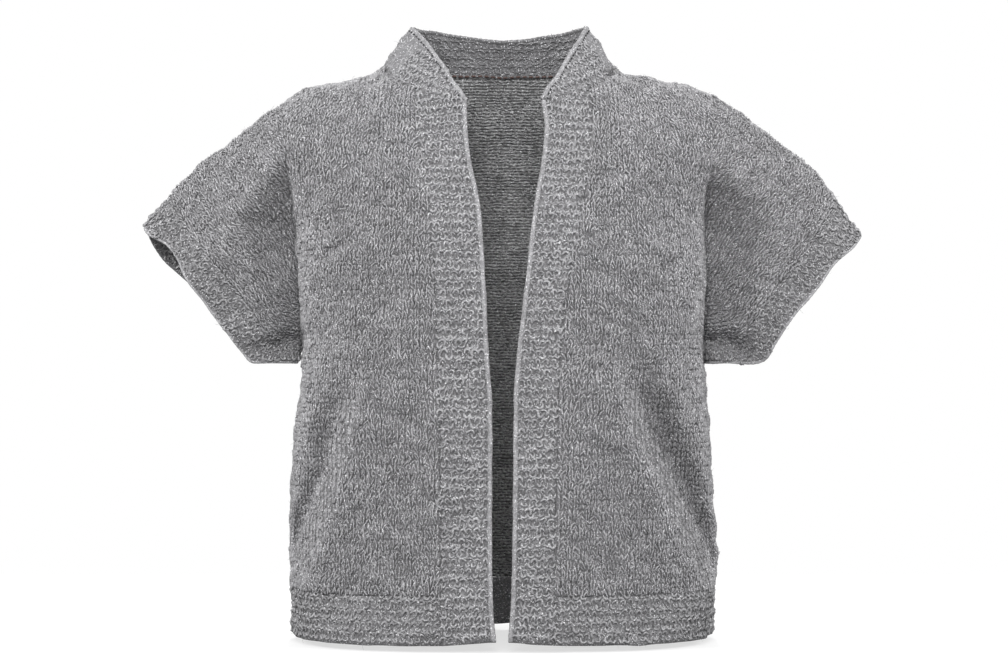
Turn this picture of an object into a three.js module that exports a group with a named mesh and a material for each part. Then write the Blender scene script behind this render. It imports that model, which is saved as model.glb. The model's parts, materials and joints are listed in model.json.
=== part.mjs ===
// A short hand-knitted cardigan: open front, stand collar, and wide dolman sleeves that are
// knitted in one with the fronts and the back.  It keeps the hollow form of a worn garment.
//
// Frame: millimetres, +Z up.  The front faces -Y, and left and right are the wearer's, so left
// is +X.  The origin is the middle of the neck opening, at the height of the shoulders.
//
// "out" is the distance from the middle of the body, sideways, the same on both sides.
import * as THREE from 'three';

// ---- Walls and seams -------------------------------------------------------------------------

const PANEL_WALL = 3;
const BORDER_WALL = 4;
const SEAM_GAP = 0.3;

// ---- Levels and widths -----------------------------------------------------------------------

const HEM_Z = -550.5;
const HEM_BORDER_TOP_Z = -503;
const UNDERARM_Z = -250;
const SIDE_SEAM_Y = 0;
const HEM_LIFT_AT_OPENING = 4;
const HEM_LIFT_WIDTH = 45;

// ---- The neck seam: two half ellipses, level at the back and dropping to the front corners ----

const NECK = {
  middleY: 20, backDepth: 62, frontDepth: 87, cornerY: -62.4,
  backZ: 13, frontDrop: 38, dropPower: 1.3,
  left: { halfWidth: 113, z: 15.5 },
  right: { halfWidth: 120, z: 16.5 },
};

// ---- Short tables: a row for each section ------------------------------------------------------

// Edge of the body seen from the front: the side seam up to the underarm, then the deep fold
// where the sleeve leaves the body, up to the shoulder.
const BODY_EDGE = [
  { z: HEM_Z, left: 210, right: 210 },
  { z: -478, left: 211.5, right: 211.5 },
  { z: -418, left: 209.5, right: 209.5 },
  { z: -378, left: 207.5, right: 207.5 },
  { z: -338, left: 204.5, right: 205.5 },
  { z: -298, left: 200.5, right: 200 },
  { z: UNDERARM_Z, left: 199, right: 198.5 },
  { z: -148, left: 199.5, right: 204 },
  { z: -98, left: 201, right: 209.5 },
  { z: -55, left: 205, right: 214 },
  { z: -19, left: 212, right: 217 },
];

// The open front: where the band's free edge and its seam to the front lie.
const BAND_EDGE = [
  { z: HEM_Z, left: 5.5, right: 6.2 },
  { z: -511, left: 8.2, right: 9.1 },
  { z: -416, left: 10, right: 10 },
  { z: -320, left: 11, right: 10 },
  { z: -272, left: 14, right: 13.2 },
  { z: -200, left: 22.5, right: 16.5 },
  { z: -128, left: 30.4, right: 21.7 },
  { z: -79, left: 39, right: 31.5 },
  { z: -50, left: 41.5, right: 34.6 },
  { z: -25, left: 38.6, right: 35.5 },
];
const BAND_SEAM = [
  { z: HEM_Z, left: 50, right: 58.5 },
  { z: -468, left: 50.2, right: 58.9 },
  { z: -382, left: 52.2, right: 60 },
  { z: -258, left: 57, right: 62.7 },
  { z: -124, left: 78, right: 72 },
  { z: -54, left: 87, right: 84 },
  { z: -12, left: 89, right: 86 },
];

// The shoulder seam and the overarm seam, from the neck to the tip of the cuff.
const OVERARM = [
  { out: 113, left: 15.5, right: 22, y: 20 },
  { out: 120, left: 11, right: 16.5, y: 19.5 },
  { out: 133, left: 6.5, right: 8, y: 18 },
  { out: 152, left: 3, right: 3.5, y: 16 },
  { out: 190, left: -6, right: -5, y: 12 },
  { out: 214, left: -16, right: -14, y: 9 },
  { out: 243, left: -34, right: -34.5, y: 6 },
  { out: 276, left: -58, right: -62, y: 4 },
  { out: 308, left: -86, right: -89, y: 2 },
  { out: 340, left: -124, right: -120.5, y: 1 },
  { out: 361, left: -154, right: -144, y: 0 },
];

// Half of the sleeve mouth, from the underarm (at 0) round its lower corner to the tip (at 1).
const CUFF_EDGE = [
  { at: 0, leftOut: 203, leftZ: -282, rightOut: 202, rightZ: -282 },
  { at: 0.12, leftOut: 234, leftZ: -282, rightOut: 229, rightZ: -282 },
  { at: 0.21, leftOut: 255, leftZ: -281, rightOut: 247, rightZ: -281 },
  { at: 0.27, leftOut: 263, leftZ: -275, rightOut: 255, rightZ: -275 },
  { at: 0.4, leftOut: 278, leftZ: -250, rightOut: 275, rightZ: -249 },
  { at: 0.5, leftOut: 289, leftZ: -234, rightOut: 288, rightZ: -231 },
  { at: 0.65, leftOut: 310, leftZ: -210, rightOut: 308, rightZ: -206 },
  { at: 0.8, leftOut: 330, leftZ: -183, rightOut: 329, rightZ: -181 },
  { at: 0.92, leftOut: 351, leftZ: -166, rightOut: 351, rightZ: -160 },
  { at: 1, leftOut: 361, leftZ: -154, rightOut: 361, rightZ: -144 },
];
const CUFF_SEAM = [
  { at: 0, leftOut: 200.5, leftZ: -255, rightOut: 200, rightZ: -255 },
  { at: 0.12, leftOut: 224, leftZ: -256, rightOut: 221, rightZ: -256 },
  { at: 0.21, leftOut: 239, leftZ: -253, rightOut: 233, rightZ: -252 },
  { at: 0.27, leftOut: 245, leftZ: -246, rightOut: 239, rightZ: -245 },
  { at: 0.4, leftOut: 258, leftZ: -226, rightOut: 254, rightZ: -223 },
  { at: 0.5, leftOut: 268, leftZ: -211, rightOut: 266, rightZ: -207 },
  { at: 0.65, leftOut: 288, leftZ: -187, rightOut: 286, rightZ: -182 },
  { at: 0.8, leftOut: 308, leftZ: -161, rightOut: 306, rightZ: -156 },
  { at: 0.92, leftOut: 324, leftZ: -134, rightOut: 323, rightZ: -131 },
  { at: 1, leftOut: 331, leftZ: -113, rightOut: 331, rightZ: -110 },
];

// Free edge of the collar, from the front corner (at 0) over its peak to the middle of the back.
const COLLAR_EDGE = [
  { at: 0, left: 38.8, right: 36, y: -63, z: -21 },
  { at: 0.07, left: 42, right: 41, y: -57, z: -11 },
  { at: 0.14, left: 50.5, right: 49, y: -45, z: 1 },
  { at: 0.21, left: 59, right: 57.5, y: -31, z: 15 },
  { at: 0.28, left: 67, right: 66.5, y: -16, z: 29 },
  { at: 0.35, left: 75, right: 76, y: -1, z: 42 },
  { at: 0.41, left: 80.5, right: 84.5, y: 11, z: 52 },
  { at: 0.47, left: 84.5, right: 91, y: 22, z: 58 },
  { at: 0.55, left: 84, right: 90, y: 36, z: 59.5 },
  { at: 0.64, left: 75, right: 78, y: 52, z: 58.5 },
  { at: 0.74, left: 60, right: 60, y: 62, z: 55.5 },
  { at: 0.86, left: 34, right: 34, y: 69, z: 52 },
  { at: 1, left: 0, right: 0, y: 72, z: 49.5 },
];
const COLLAR_BULGE = 3;
const COLLAR_BULGE_START = 0.3;

// How far the middle of the front and of the back stand from the side seam, level by level, and
// how boxy each section is (2 is an ellipse).
const BODY_DEPTH = [
  { z: HEM_Z, front: -133, back: 93, frontBox: 2.5, backBox: 2.3 },
  { z: -480, front: -129, back: 96, frontBox: 2.5, backBox: 2.3 },
  { z: -380, front: -125, back: 103, frontBox: 2.6, backBox: 2.4 },
  { z: -280, front: -121, back: 109, frontBox: 2.9, backBox: 2.7 },
  { z: -200, front: -117, back: 112, frontBox: 3.2, backBox: 3 },
  { z: -130, front: -110, back: 110, frontBox: 3.4, backBox: 3.2 },
  { z: -60, front: -104, back: 105, frontBox: 3.4, backBox: 3.2 },
  { z: 20, front: -100, back: 98, frontBox: 3.4, backBox: 3.2 },
];

// Half depth of the sleeve: 0 at the fold by the body, 1 at the cuff's seam, 2 at its edge.
const SLEEVE_DEPTH = [
  { at: 0, front: 50, back: 52 },
  { at: 0.35, front: 58, back: 60 },
  { at: 0.7, front: 56, back: 58 },
  { at: 1, front: 50, back: 53 },
  { at: 2, front: 40, back: 44 },
];
const THROAT = { front: 42, back: 44 };

// The largest folds: a soft crest with a dip beside it, on its outer side.
const FOLDS = [
  {
    face: 'front', side: 'right', crest: 8, crestWidth: 20, dip: 13, dipWidth: 18, dipAt: 26,
    path: [
      { out: 137, z: -275 }, { out: 144, z: -338 }, { out: 150, z: -374 },
      { out: 161, z: -415 }, { out: 174, z: -448 }, { out: 192, z: -483 },
    ],
  },
  {
    face: 'front', side: 'left', crest: 8, crestWidth: 19, dip: 13, dipWidth: 17, dipAt: 25,
    path: [
      { out: 112, z: -272 }, { out: 121, z: -317 }, { out: 138, z: -363 },
      { out: 153, z: -399 }, { out: 175, z: -437 }, { out: 198, z: -488 },
    ],
  },
  {
    face: 'back', side: 'right', crest: 6, crestWidth: 20, dip: 8, dipWidth: 20, dipAt: 27,
    path: [
      { out: 128, z: -255 }, { out: 140, z: -330 }, { out: 158, z: -400 }, { out: 186, z: -470 },
    ],
  },
  {
    face: 'back', side: 'left', crest: 6, crestWidth: 20, dip: 8, dipWidth: 18, dipAt: 26,
    path: [
      { out: 118, z: -265 }, { out: 133, z: -330 }, { out: 155, z: -410 }, { out: 190, z: -485 },
    ],
  },
  {
    face: 'front', side: 'right', crest: 4, crestWidth: 13, dip: 5, dipWidth: 12, dipAt: 18,
    path: [{ out: 284, z: -62 }, { out: 296, z: -105 }, { out: 301, z: -140 }],
  },
];
// A fold fades in over its first share and out over its last, down to what is left at its foot.
const FOLD_FADE = { share: 0.3, leftAtFoot: 0.4 };

// ---- Mesh steps ---------------------------------------------------------------------------------

const HEM_ROWS = 2;
const LOWER_ROWS = 13;
const UPPER_ROWS = 13;
const FRONT_COLUMNS = 17;
const FRONT_NECK_COLUMNS = 7;
const BACK_COLUMNS = 18;
const BACK_NECK_COLUMNS = 8;
const SLEEVE_COLUMNS = 6;
const CUFF_COLUMNS = 2;
const BAND_COLUMNS = 3;
const COLLAR_ROWS = 4;
const ARC_SAMPLES = 160;
// How strongly the rows above the underarm crowd towards its two ends, and how late its columns
// leave their even spacing to meet the shares of the top line.
const LEVEL_CROWDING = 0.7;
const COLUMN_BLEND_POWER = 3;
// Points closer than this many to the millimetre are one point.
const KEYS_PER_MM = 1000;
const SHARPEST_MITRE = 0.5;

// ---- Shape of the sections ------------------------------------------------------------------------

// reach: how far below the neck and shoulder a face swells to its full depth.
const FACES = {
  front: {
    name: 'front', sign: -1, reach: 200, columns: FRONT_COLUMNS, neckColumns: FRONT_NECK_COLUMNS,
  },
  back: {
    name: 'back', sign: 1, reach: 160, columns: BACK_COLUMNS, neckColumns: BACK_NECK_COLUMNS,
  },
};
const SIDES = { left: { name: 'left', sign: 1 }, right: { name: 'right', sign: -1 } };
const SHOULDER_POWER = 0.5;
const NECK_POWER = 1;
const NECK_BLEND = 50;
const FOLD_FADES = { from: 0.5, to: 0.86 };
const SLEEVE_SECTION_POWER = 0.9;
const VALLEY_WIDTH = 0.42;
// The right sleeve's mouth gapes near its tip: its front edge draws in and its back edge out.
const MOUTH_GAPE = {
  front: { drawn: 8, at: 0.87, width: 0.11 },
  back: { drawn: -6, at: 0.8, width: 0.2 },
  out: -0.77,
  z: 0.64,
};

// ---- Colours of the knit ----------------------------------------------------------------------------

const PLAIN_KNIT = { wall: PANEL_WALL, color: 0x858489 };
const BORDER_KNIT = { wall: BORDER_WALL, color: 0x8f8e92 };
const YARN_ROUGHNESS = 0.95;

// ---- Reading the tables -----------------------------------------------------------------------------

const { lerp, clamp, smoothstep } = THREE.MathUtils;
const lastOf = (list) => list[list.length - 1];

/** Smooth value of one column of a table, by cubic steps whose slopes come from its rows. */
function readTable(rows, keyName, column, key) {
  const last = rows.length - 1;
  const at = clamp(key, rows[0][keyName], rows[last][keyName]);
  let low = 0;
  while (low < last - 1 && at > rows[low + 1][keyName]) low += 1;
  const slope = (from, to) =>
    (rows[to][column] - rows[from][column]) / (rows[to][keyName] - rows[from][keyName]);
  const step = rows[low + 1][keyName] - rows[low][keyName];
  const t = (at - rows[low][keyName]) / step;
  const startSlope = slope(Math.max(low - 1, 0), low + 1) * step;
  const endSlope = slope(low, Math.min(low + 2, last)) * step;
  const start = rows[low][column];
  const end = rows[low + 1][column];
  return (
    start * (1 + 2 * t) * (1 - t) ** 2 + startSlope * t * (1 - t) ** 2 +
    end * t * t * (3 - 2 * t) + endSlope * t * t * (t - 1)
  );
}

/** A point of the front half of the neck seam, at its distance out. */
function neckFront(side, out) {
  const { halfWidth, z } = NECK[side.name];
  const share = Math.sqrt(Math.max(0, 1 - (out / halfWidth) ** 2));
  const y = NECK.middleY - NECK.frontDepth * share;
  const drop = ((NECK.middleY - y) / (NECK.middleY - NECK.cornerY)) ** NECK.dropPower;
  return { out, y, z: z - NECK.frontDrop * drop };
}

/** A point of the back half of the neck seam: 0 in the middle of the back, 1 at the shoulder. */
function neckBack(side, turn) {
  const { halfWidth, z } = NECK[side.name];
  const angle = (turn * Math.PI) / 2;
  return {
    out: halfWidth * Math.sin(angle),
    y: NECK.middleY + NECK.backDepth * Math.cos(angle),
    z: lerp(NECK.backZ, z, Math.sin(angle) ** 2),
  };
}

/** A point of the shoulder and overarm seam. */
function overarm(side, out) {
  return {
    out,
    y: readTable(OVERARM, 'out', 'y', out),
    z: readTable(OVERARM, 'out', side.name, out),
  };
}

/** The top of the shoulder's fold, where the sleeve begins. */
function shoulderEnd(side) {
  return overarm(side, lastOf(BODY_EDGE)[side.name]);
}

/** Top line of a front or back: its neck seam, then its shoulder seam. */
function topLine(face, side, across) {
  const { halfWidth } = NECK[side.name];
  const neckShare = face.neckColumns / face.columns;
  if (across > neckShare) {
    const t = (across - neckShare) / (1 - neckShare);
    return overarm(side, lerp(halfWidth, shoulderEnd(side).out, t));
  }
  const t = across / neckShare;
  if (face.name === 'back') return neckBack(side, t);
  const start = Math.asin(lastOf(BAND_SEAM)[side.name] / halfWidth);
  return neckFront(side, halfWidth * Math.sin(lerp(start, Math.PI / 2, t)));
}

/** Depth of the body's middle, eased in below the top line at this place. */
function columnDepth(face, side, top, z) {
  const drop = clamp((top.z - z) / face.reach, 0, 1);
  const neckness = clamp((NECK[side.name].halfWidth - top.out) / NECK_BLEND, 0, 1);
  const power = lerp(SHOULDER_POWER, NECK_POWER, neckness);
  const eased = (1 - (1 - drop) ** 2) ** power;
  return lerp(top.y, readTable(BODY_DEPTH, 'z', face.name, z), eased);
}

/** How full the body's section is, from 1 in its middle to 0 at its edge. */
function fullness(face, z, out, edge) {
  const power = readTable(BODY_DEPTH, 'z', `${face.name}Box`, z);
  return Math.max(0, 1 - Math.min(out / edge, 1) ** power) ** (1 / power);
}

/** Round section of the sleeve: 0 at the underarm and overarm, 1 halfway. */
function sleeveSection(up) {
  return (2 * Math.sqrt(up * (1 - up))) ** SLEEVE_SECTION_POWER;
}

/** How deep the oval passage from body to sleeve is at its edge, under the fold. */
function throatReach(face, up) {
  return face.sign * THROAT[face.name] * sleeveSection(up);
}

/** Depth of the cloth as it nears the fold: full 1 away from it, 0 at its bottom. */
function depthNearFold(face, side, up, columnY, full) {
  const seamY = lerp(SIDE_SEAM_Y, shoulderEnd(side).y, up);
  return lerp(seamY, columnY, full) + throatReach(face, up) * (1 - full) ** 2;
}

/** How far the fold has faded out towards the shoulder. */
function foldFade(up) {
  return smoothstep(up, FOLD_FADES.from, FOLD_FADES.to);
}

/** Depth at the fold between body and sleeve, deep at the underarm and gone at the shoulder. */
function foldDepth(face, side, up) {
  const top = shoulderEnd(side);
  const columnY = columnDepth(face, side, top, lerp(UNDERARM_Z, top.z, up));
  return depthNearFold(face, side, up, columnY, foldFade(up));
}

/** A point below the underarm. */
function lowerPoint(face, side, z, out) {
  const edge = readTable(BODY_EDGE, 'z', side.name, z);
  const middle = readTable(BODY_DEPTH, 'z', face.name, z);
  return { out, y: lerp(SIDE_SEAM_Y, middle, fullness(face, z, out, edge)), z };
}

/** A point of the body above the underarm, under a given point of the top line. */
function upperPoint(face, side, top, out, up) {
  const z = lerp(UNDERARM_Z, top.z, up);
  const edgeZ = lerp(UNDERARM_Z, shoulderEnd(side).z, up);
  const edge = readTable(BODY_EDGE, 'z', side.name, edgeZ);
  const full = lerp(fullness(face, z, out, edge), 1, foldFade(up));
  return { out, y: depthNearFold(face, side, up, columnDepth(face, side, top, z), full), z };
}

/** A point of a front or back panel, across it from 0 to 1, at a level up from the underarm. */
function panelPoint(face, side, across, up) {
  const innerTop = topLine(face, side, 0);
  const top = topLine(face, side, across);
  const outerTop = shoulderEnd(side);
  const innerZ = lerp(UNDERARM_Z, innerTop.z, up);
  const outerZ = lerp(UNDERARM_Z, outerTop.z, up);
  const inner = face.name === 'front' ? readTable(BAND_SEAM, 'z', side.name, innerZ) : 0;
  const outer = readTable(BODY_EDGE, 'z', side.name, outerZ);
  const bow = top.out - lerp(innerTop.out, outerTop.out, across);
  return upperPoint(face, side, top, lerp(inner, outer, across) + up * bow, up);
}

/** Where the rows of the cuff's seam or edge lie, seen from the front. */
function cuffPlace(rows, side, up) {
  return {
    out: readTable(rows, 'at', `${side.name}Out`, up),
    z: readTable(rows, 'at', `${side.name}Z`, up),
  };
}

/** Place of the plain sleeve seen from the front: along 0 at the fold, 1 at the cuff's seam. */
function plainSleevePlace(side, along, up) {
  const shoulder = shoulderEnd(side);
  const seam = cuffPlace(CUFF_SEAM, side, up);
  const seamTop = overarm(side, cuffPlace(CUFF_SEAM, side, 1).out);
  const over = overarm(side, lerp(shoulder.out, seamTop.out, along));
  const foldZ = lerp(UNDERARM_Z, shoulder.z, up);
  const foldOut = readTable(BODY_EDGE, 'z', side.name, foldZ);
  return {
    out: lerp(foldOut, seam.out, along),
    z: lerp(foldZ, seam.z, along) + up * (over.z - lerp(shoulder.z, seamTop.z, along)),
    middleY: lerp(SIDE_SEAM_Y, over.y, up),
  };
}

/** Place of the cuff seen from the front: across 0 at its seam, 1 at its edge. */
function cuffBorderPlace(face, side, across, up) {
  const seam = cuffPlace(CUFF_SEAM, side, up);
  const edge = cuffPlace(CUFF_EDGE, side, up);
  const seamTip = cuffPlace(CUFF_SEAM, side, 1);
  const edgeTip = cuffPlace(CUFF_EDGE, side, 1);
  const gape = MOUTH_GAPE[face.name];
  const toTip = Math.min(1, (1 - up) / (1 - gape.at));
  const near = Math.exp(-(((up - gape.at) / gape.width) ** 2)) * toTip;
  const shift = side.name === 'right' ? gape.drawn * near * up * across : 0;
  const over = overarm(side, lerp(seamTip.out, edgeTip.out, across));
  return {
    out: lerp(seam.out, edge.out, across) + shift * MOUTH_GAPE.out,
    z: lerp(seam.z, edge.z, across) + shift * MOUTH_GAPE.z,
    middleY: lerp(SIDE_SEAM_Y, over.y, up),
  };
}

/** A point of the sleeve: along 0 at the fold, 1 at the cuff's seam, 2 at the cuff's edge. */
function sleevePoint(face, side, along, up) {
  const place = along <= 1
    ? plainSleevePlace(side, along, up)
    : cuffBorderPlace(face, side, along - 1, up);
  const half = readTable(SLEEVE_DEPTH, 'at', face.name, along) * sleeveSection(up);
  const lobe = place.middleY + face.sign * half;
  const leave = 1 - (1 - Math.min(along / VALLEY_WIDTH, 1)) ** 2;
  return { out: place.out, y: lerp(foldDepth(face, side, up), lobe, leave), z: place.z };
}

// ---- Grids of points ---------------------------------------------------------------------------

const steps = (count) => Array.from({ length: count + 1 }, (_, index) => index / count);

/** Levels above the underarm, closer together near both ends. */
function upperLevels() {
  return steps(UPPER_ROWS).map((t) => lerp(t, (1 - Math.cos(Math.PI * t)) / 2, LEVEL_CROWDING));
}

/** Levels below the underarm, from the hem's edge up. */
function lowerLevels() {
  const hem = steps(HEM_ROWS).map((t) => lerp(HEM_Z, HEM_BORDER_TOP_Z, t));
  const body = steps(LOWER_ROWS).map((t) => lerp(HEM_BORDER_TOP_Z, UNDERARM_Z, t));
  return { hem, body };
}

/** The hem's free edge rises a little beside the opening. */
function liftHem(place, z) {
  const share = clamp((HEM_BORDER_TOP_Z - z) / (HEM_BORDER_TOP_Z - HEM_Z), 0, 1);
  const near = Math.exp(-((place.out / HEM_LIFT_WIDTH) ** 2));
  const lift = place.y < SIDE_SEAM_Y ? HEM_LIFT_AT_OPENING * near * share : 0;
  return { ...place, z: place.z + lift };
}

/** Length along a line of places, from its start to each of them. */
function runLengths(places) {
  const lengths = [0];
  for (let i = 1; i < places.length; i += 1) {
    const a = places[i - 1];
    const b = places[i];
    lengths.push(lengths[i - 1] + Math.hypot(b.out - a.out, b.y - a.y, b.z - a.z));
  }
  return lengths;
}

/** Where a row's columns stand so that they are the same length apart on the cloth. */
function evenColumns(count, pointAt) {
  const shares = steps(ARC_SAMPLES).map((t) => Math.sin((t * Math.PI) / 2));
  const lengths = runLengths(shares.map(pointAt));
  const total = lastOf(lengths);
  return steps(count).map((t) => {
    if (t === 1) return 1;
    let i = 1;
    while (i < lengths.length - 1 && lengths[i] < t * total) i += 1;
    const part = (t * total - lengths[i - 1]) / (lengths[i] - lengths[i - 1]);
    return lerp(shares[i - 1], shares[i], clamp(part, 0, 1));
  });
}

/** Rows of a front or back panel below the underarm. */
function lowerRows(face, side, levels) {
  return levels.map((z) => {
    const inner = face.name === 'front' ? readTable(BAND_SEAM, 'z', side.name, z) : 0;
    const edge = readTable(BODY_EDGE, 'z', side.name, z);
    const pointAt = (across) => lowerPoint(face, side, z, lerp(inner, edge, across));
    return evenColumns(face.columns, pointAt).map((across) => liftHem(pointAt(across), z));
  });
}

/** Rows of a front or back panel above the underarm, up to its shoulder and neck seams. */
function upperRows(face, side) {
  return upperLevels().map((up) => {
    const pointAt = (across) => panelPoint(face, side, across, up);
    const even = evenColumns(face.columns, pointAt);
    const blend = up ** COLUMN_BLEND_POWER;
    return steps(face.columns).map((share, index) => pointAt(lerp(even[index], share, blend)));
  });
}

/** Rows of the plain sleeve, from the underarm to the overarm seam. */
function sleeveRows(face, side) {
  return upperLevels().map((up) =>
    steps(SLEEVE_COLUMNS).map((along) => sleevePoint(face, side, along, up)));
}

/** Rows of the cuff, from the underarm to its tip. */
function cuffRows(face, side) {
  return upperLevels().map((up) =>
    steps(CUFF_COLUMNS).map((across) => sleevePoint(face, side, 1 + across, up)));
}

/** Rows of a band, from the hem to the neck seam. */
function bandRows(side) {
  const { hem, body } = lowerLevels();
  const lower = [...hem, ...body.slice(1)].map((z) => {
    const free = readTable(BAND_EDGE, 'z', side.name, z);
    const seam = readTable(BAND_SEAM, 'z', side.name, z);
    return steps(BAND_COLUMNS).map((t) =>
      liftHem(lowerPoint(FACES.front, side, z, lerp(free, seam, t)), z));
  });
  const freeTop = lastOf(BAND_EDGE)[side.name];
  const seamTop = lastOf(BAND_SEAM)[side.name];
  const upper = upperLevels().slice(1).map((up) => steps(BAND_COLUMNS).map((t) => {
    const top = neckFront(side, lerp(freeTop, seamTop, t));
    const z = lerp(UNDERARM_Z, top.z, up);
    const free = readTable(BAND_EDGE, 'z', side.name, z);
    const seamZ = lerp(UNDERARM_Z, neckFront(side, seamTop).z, up);
    const seam = readTable(BAND_SEAM, 'z', side.name, seamZ);
    return upperPoint(FACES.front, side, top, lerp(free, seam, t), up);
  }));
  return [...lower, ...upper];
}

/** Half of the neck seam, from the front corner to the middle of the back. */
function neckHalf({ band, front, back }) {
  const frontHalf = [...band, ...front.slice(1)].slice(0, BAND_COLUMNS + FRONT_NECK_COLUMNS + 1);
  return [...frontHalf, ...back.slice(0, BACK_NECK_COLUMNS).reverse()];
}

/** A column of the collar, from its place on the neck seam to the free edge. */
function collarColumn(side, base, share) {
  const edge = {
    out: readTable(COLLAR_EDGE, 'at', side.name, share),
    y: readTable(COLLAR_EDGE, 'at', 'y', share),
    z: readTable(COLLAR_EDGE, 'at', 'z', share),
  };
  const outward = new THREE.Vector2(base.out, base.y - NECK.middleY).normalize();
  const fullBulge = COLLAR_BULGE * smoothstep(share, 0, COLLAR_BULGE_START);
  return steps(COLLAR_ROWS).map((t) => {
    const bulge = 4 * fullBulge * t * (1 - t);
    return new THREE.Vector3(
      side.sign * (lerp(base.out, edge.out, t) + bulge * outward.x),
      lerp(base.y, edge.y, t) + bulge * outward.y,
      lerp(base.z, edge.z, t),
    );
  });
}

/** Collar rows, from the neck seam to the free edge; columns go round the neck, right to left. */
function collarPoints(topRows) {
  const columns = (side) => {
    const base = neckHalf(topRows[side.name]);
    const lengths = runLengths(base);
    return base.map((place, i) => collarColumn(side, place, lengths[i] / lastOf(lengths)));
  };
  const round = [...columns(SIDES.right), ...columns(SIDES.left).reverse().slice(1)];
  return steps(COLLAR_ROWS).map((_, row) => round.map((points) => points[row]));
}

// ---- Folds -----------------------------------------------------------------------------------------

/** How far a fold lifts the cloth at a place: a crest along its path and a dip outside it. */
function foldLift(fold, out, z) {
  const total = fold.path.length - 1;
  let best = { distance: Infinity, outside: 0, share: 0 };
  for (let i = 0; i < total; i += 1) {
    const start = fold.path[i];
    const runOut = fold.path[i + 1].out - start.out;
    const runZ = fold.path[i + 1].z - start.z;
    const length = Math.hypot(runOut, runZ);
    const alongRun = ((out - start.out) * runOut + (z - start.z) * runZ) / length ** 2;
    const t = clamp(alongRun, 0, 1);
    const distance = Math.hypot(out - start.out - t * runOut, z - start.z - t * runZ);
    if (distance < best.distance) {
      const outside = ((out - start.out) * -runZ + (z - start.z) * runOut) / length;
      best = { distance, outside: Math.sign(outside) * distance, share: (i + t) / total };
    }
  }
  const fadeIn = smoothstep(best.share, 0, FOLD_FADE.share);
  const fadeOut = lerp(1, FOLD_FADE.leftAtFoot, smoothstep(best.share, 1 - FOLD_FADE.share, 1));
  const crest = fold.crest * Math.exp(-((best.outside / fold.crestWidth) ** 2));
  const dip = fold.dip * Math.exp(-(((best.outside - fold.dipAt) / fold.dipWidth) ** 2));
  return (crest - dip) * fadeIn * fadeOut;
}

// ---- Surfaces --------------------------------------------------------------------------------------

const keyOf = (point) => point.toArray().map((value) => Math.round(value * KEYS_PER_MM)).join();

/** A grid of points whose faces look out of the garment. */
function patch(face, side, rows) {
  const points = rows.map((row) => row.map((place) =>
    new THREE.Vector3(side.sign * place.out, place.y, place.z)));
  return { face: face.name, side: side.name, points, flip: face.sign * side.sign > 0 };
}

/** Triangles of a grid, as triples of its points. */
function trianglesOf({ points, flip }) {
  const triangles = [];
  for (let row = 0; row < points.length - 1; row += 1) {
    for (let column = 0; column < points[row].length - 1; column += 1) {
      const a = points[row][column];
      const b = points[row][column + 1];
      const c = points[row + 1][column + 1];
      const d = points[row + 1][column];
      const alongFirst = a.distanceTo(c) < b.distanceTo(d);
      const pair = alongFirst ? [[a, b, c], [a, c, d]] : [[a, b, d], [b, c, d]];
      pair.forEach((corners) => triangles.push(flip ? [...corners].reverse() : corners));
    }
  }
  return triangles;
}

/** Directions out of the cloth at each point, shared by all the patches that meet there. */
function joinedNormals(patches) {
  const normals = new Map();
  patches.flatMap(trianglesOf).forEach(([a, b, c]) => {
    const normal = new THREE.Vector3().crossVectors(b.clone().sub(a), c.clone().sub(a));
    [a, b, c].forEach((point) => {
      const key = keyOf(point);
      if (!normals.has(key)) normals.set(key, new THREE.Vector3());
      normals.get(key).add(normal);
    });
  });
  normals.forEach((normal) => normal.normalize());
  return normals;
}

const sumOf = (numbers) => numbers.reduce((sum, number) => sum + number, 0);

/** A function that moves a point by the folds that cross it; shared points stay shared. */
function foldMover(patches) {
  const normals = joinedNormals(patches);
  const lifts = new Map();
  patches.forEach((grid) => {
    const folds = FOLDS.filter((fold) => fold.face === grid.face && fold.side === grid.side);
    grid.points.flat().forEach((point) => {
      const key = keyOf(point);
      const lift = sumOf(folds.map((fold) => foldLift(fold, Math.abs(point.x), point.z)));
      lifts.set(key, [...(lifts.get(key) ?? []), lift]);
    });
  });
  return (point) => {
    const all = lifts.get(keyOf(point));
    const normal = normals.get(keyOf(point));
    return point.clone().addScaledVector(normal, (sumOf(all) / all.length) * Math.abs(normal.y));
  };
}

/** Edges that only one triangle has, as pairs of keys. */
function freeEdges(faces) {
  const edges = new Set(faces.flatMap(([a, b, c]) => [`${a} ${b}`, `${b} ${c}`, `${c} ${a}`]));
  return [...edges].map((edge) => edge.split(' ')).filter(([a, b]) => !edges.has(`${b} ${a}`));
}

/** Directions from each point of the rim into the patch, one for each free edge there. */
function rimInsets(rim, points, normals) {
  const insets = new Map();
  rim.forEach(([a, b]) => {
    const run = points.get(b).clone().sub(points.get(a)).normalize();
    [a, b].forEach((key) => {
      const into = new THREE.Vector3().crossVectors(normals.get(key), run).normalize();
      insets.set(key, [...(insets.get(key) ?? []), into]);
    });
  });
  return insets;
}

/** A rim's point moved in by half of the seam's gap from both of its edges. */
function insetPoint(point, [first, second]) {
  const mitre = Math.max(1 + first.dot(second), SHARPEST_MITRE);
  const shift = first.clone().add(second).divideScalar(mitre);
  return point.clone().addScaledVector(shift, SEAM_GAP / 2);
}

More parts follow.
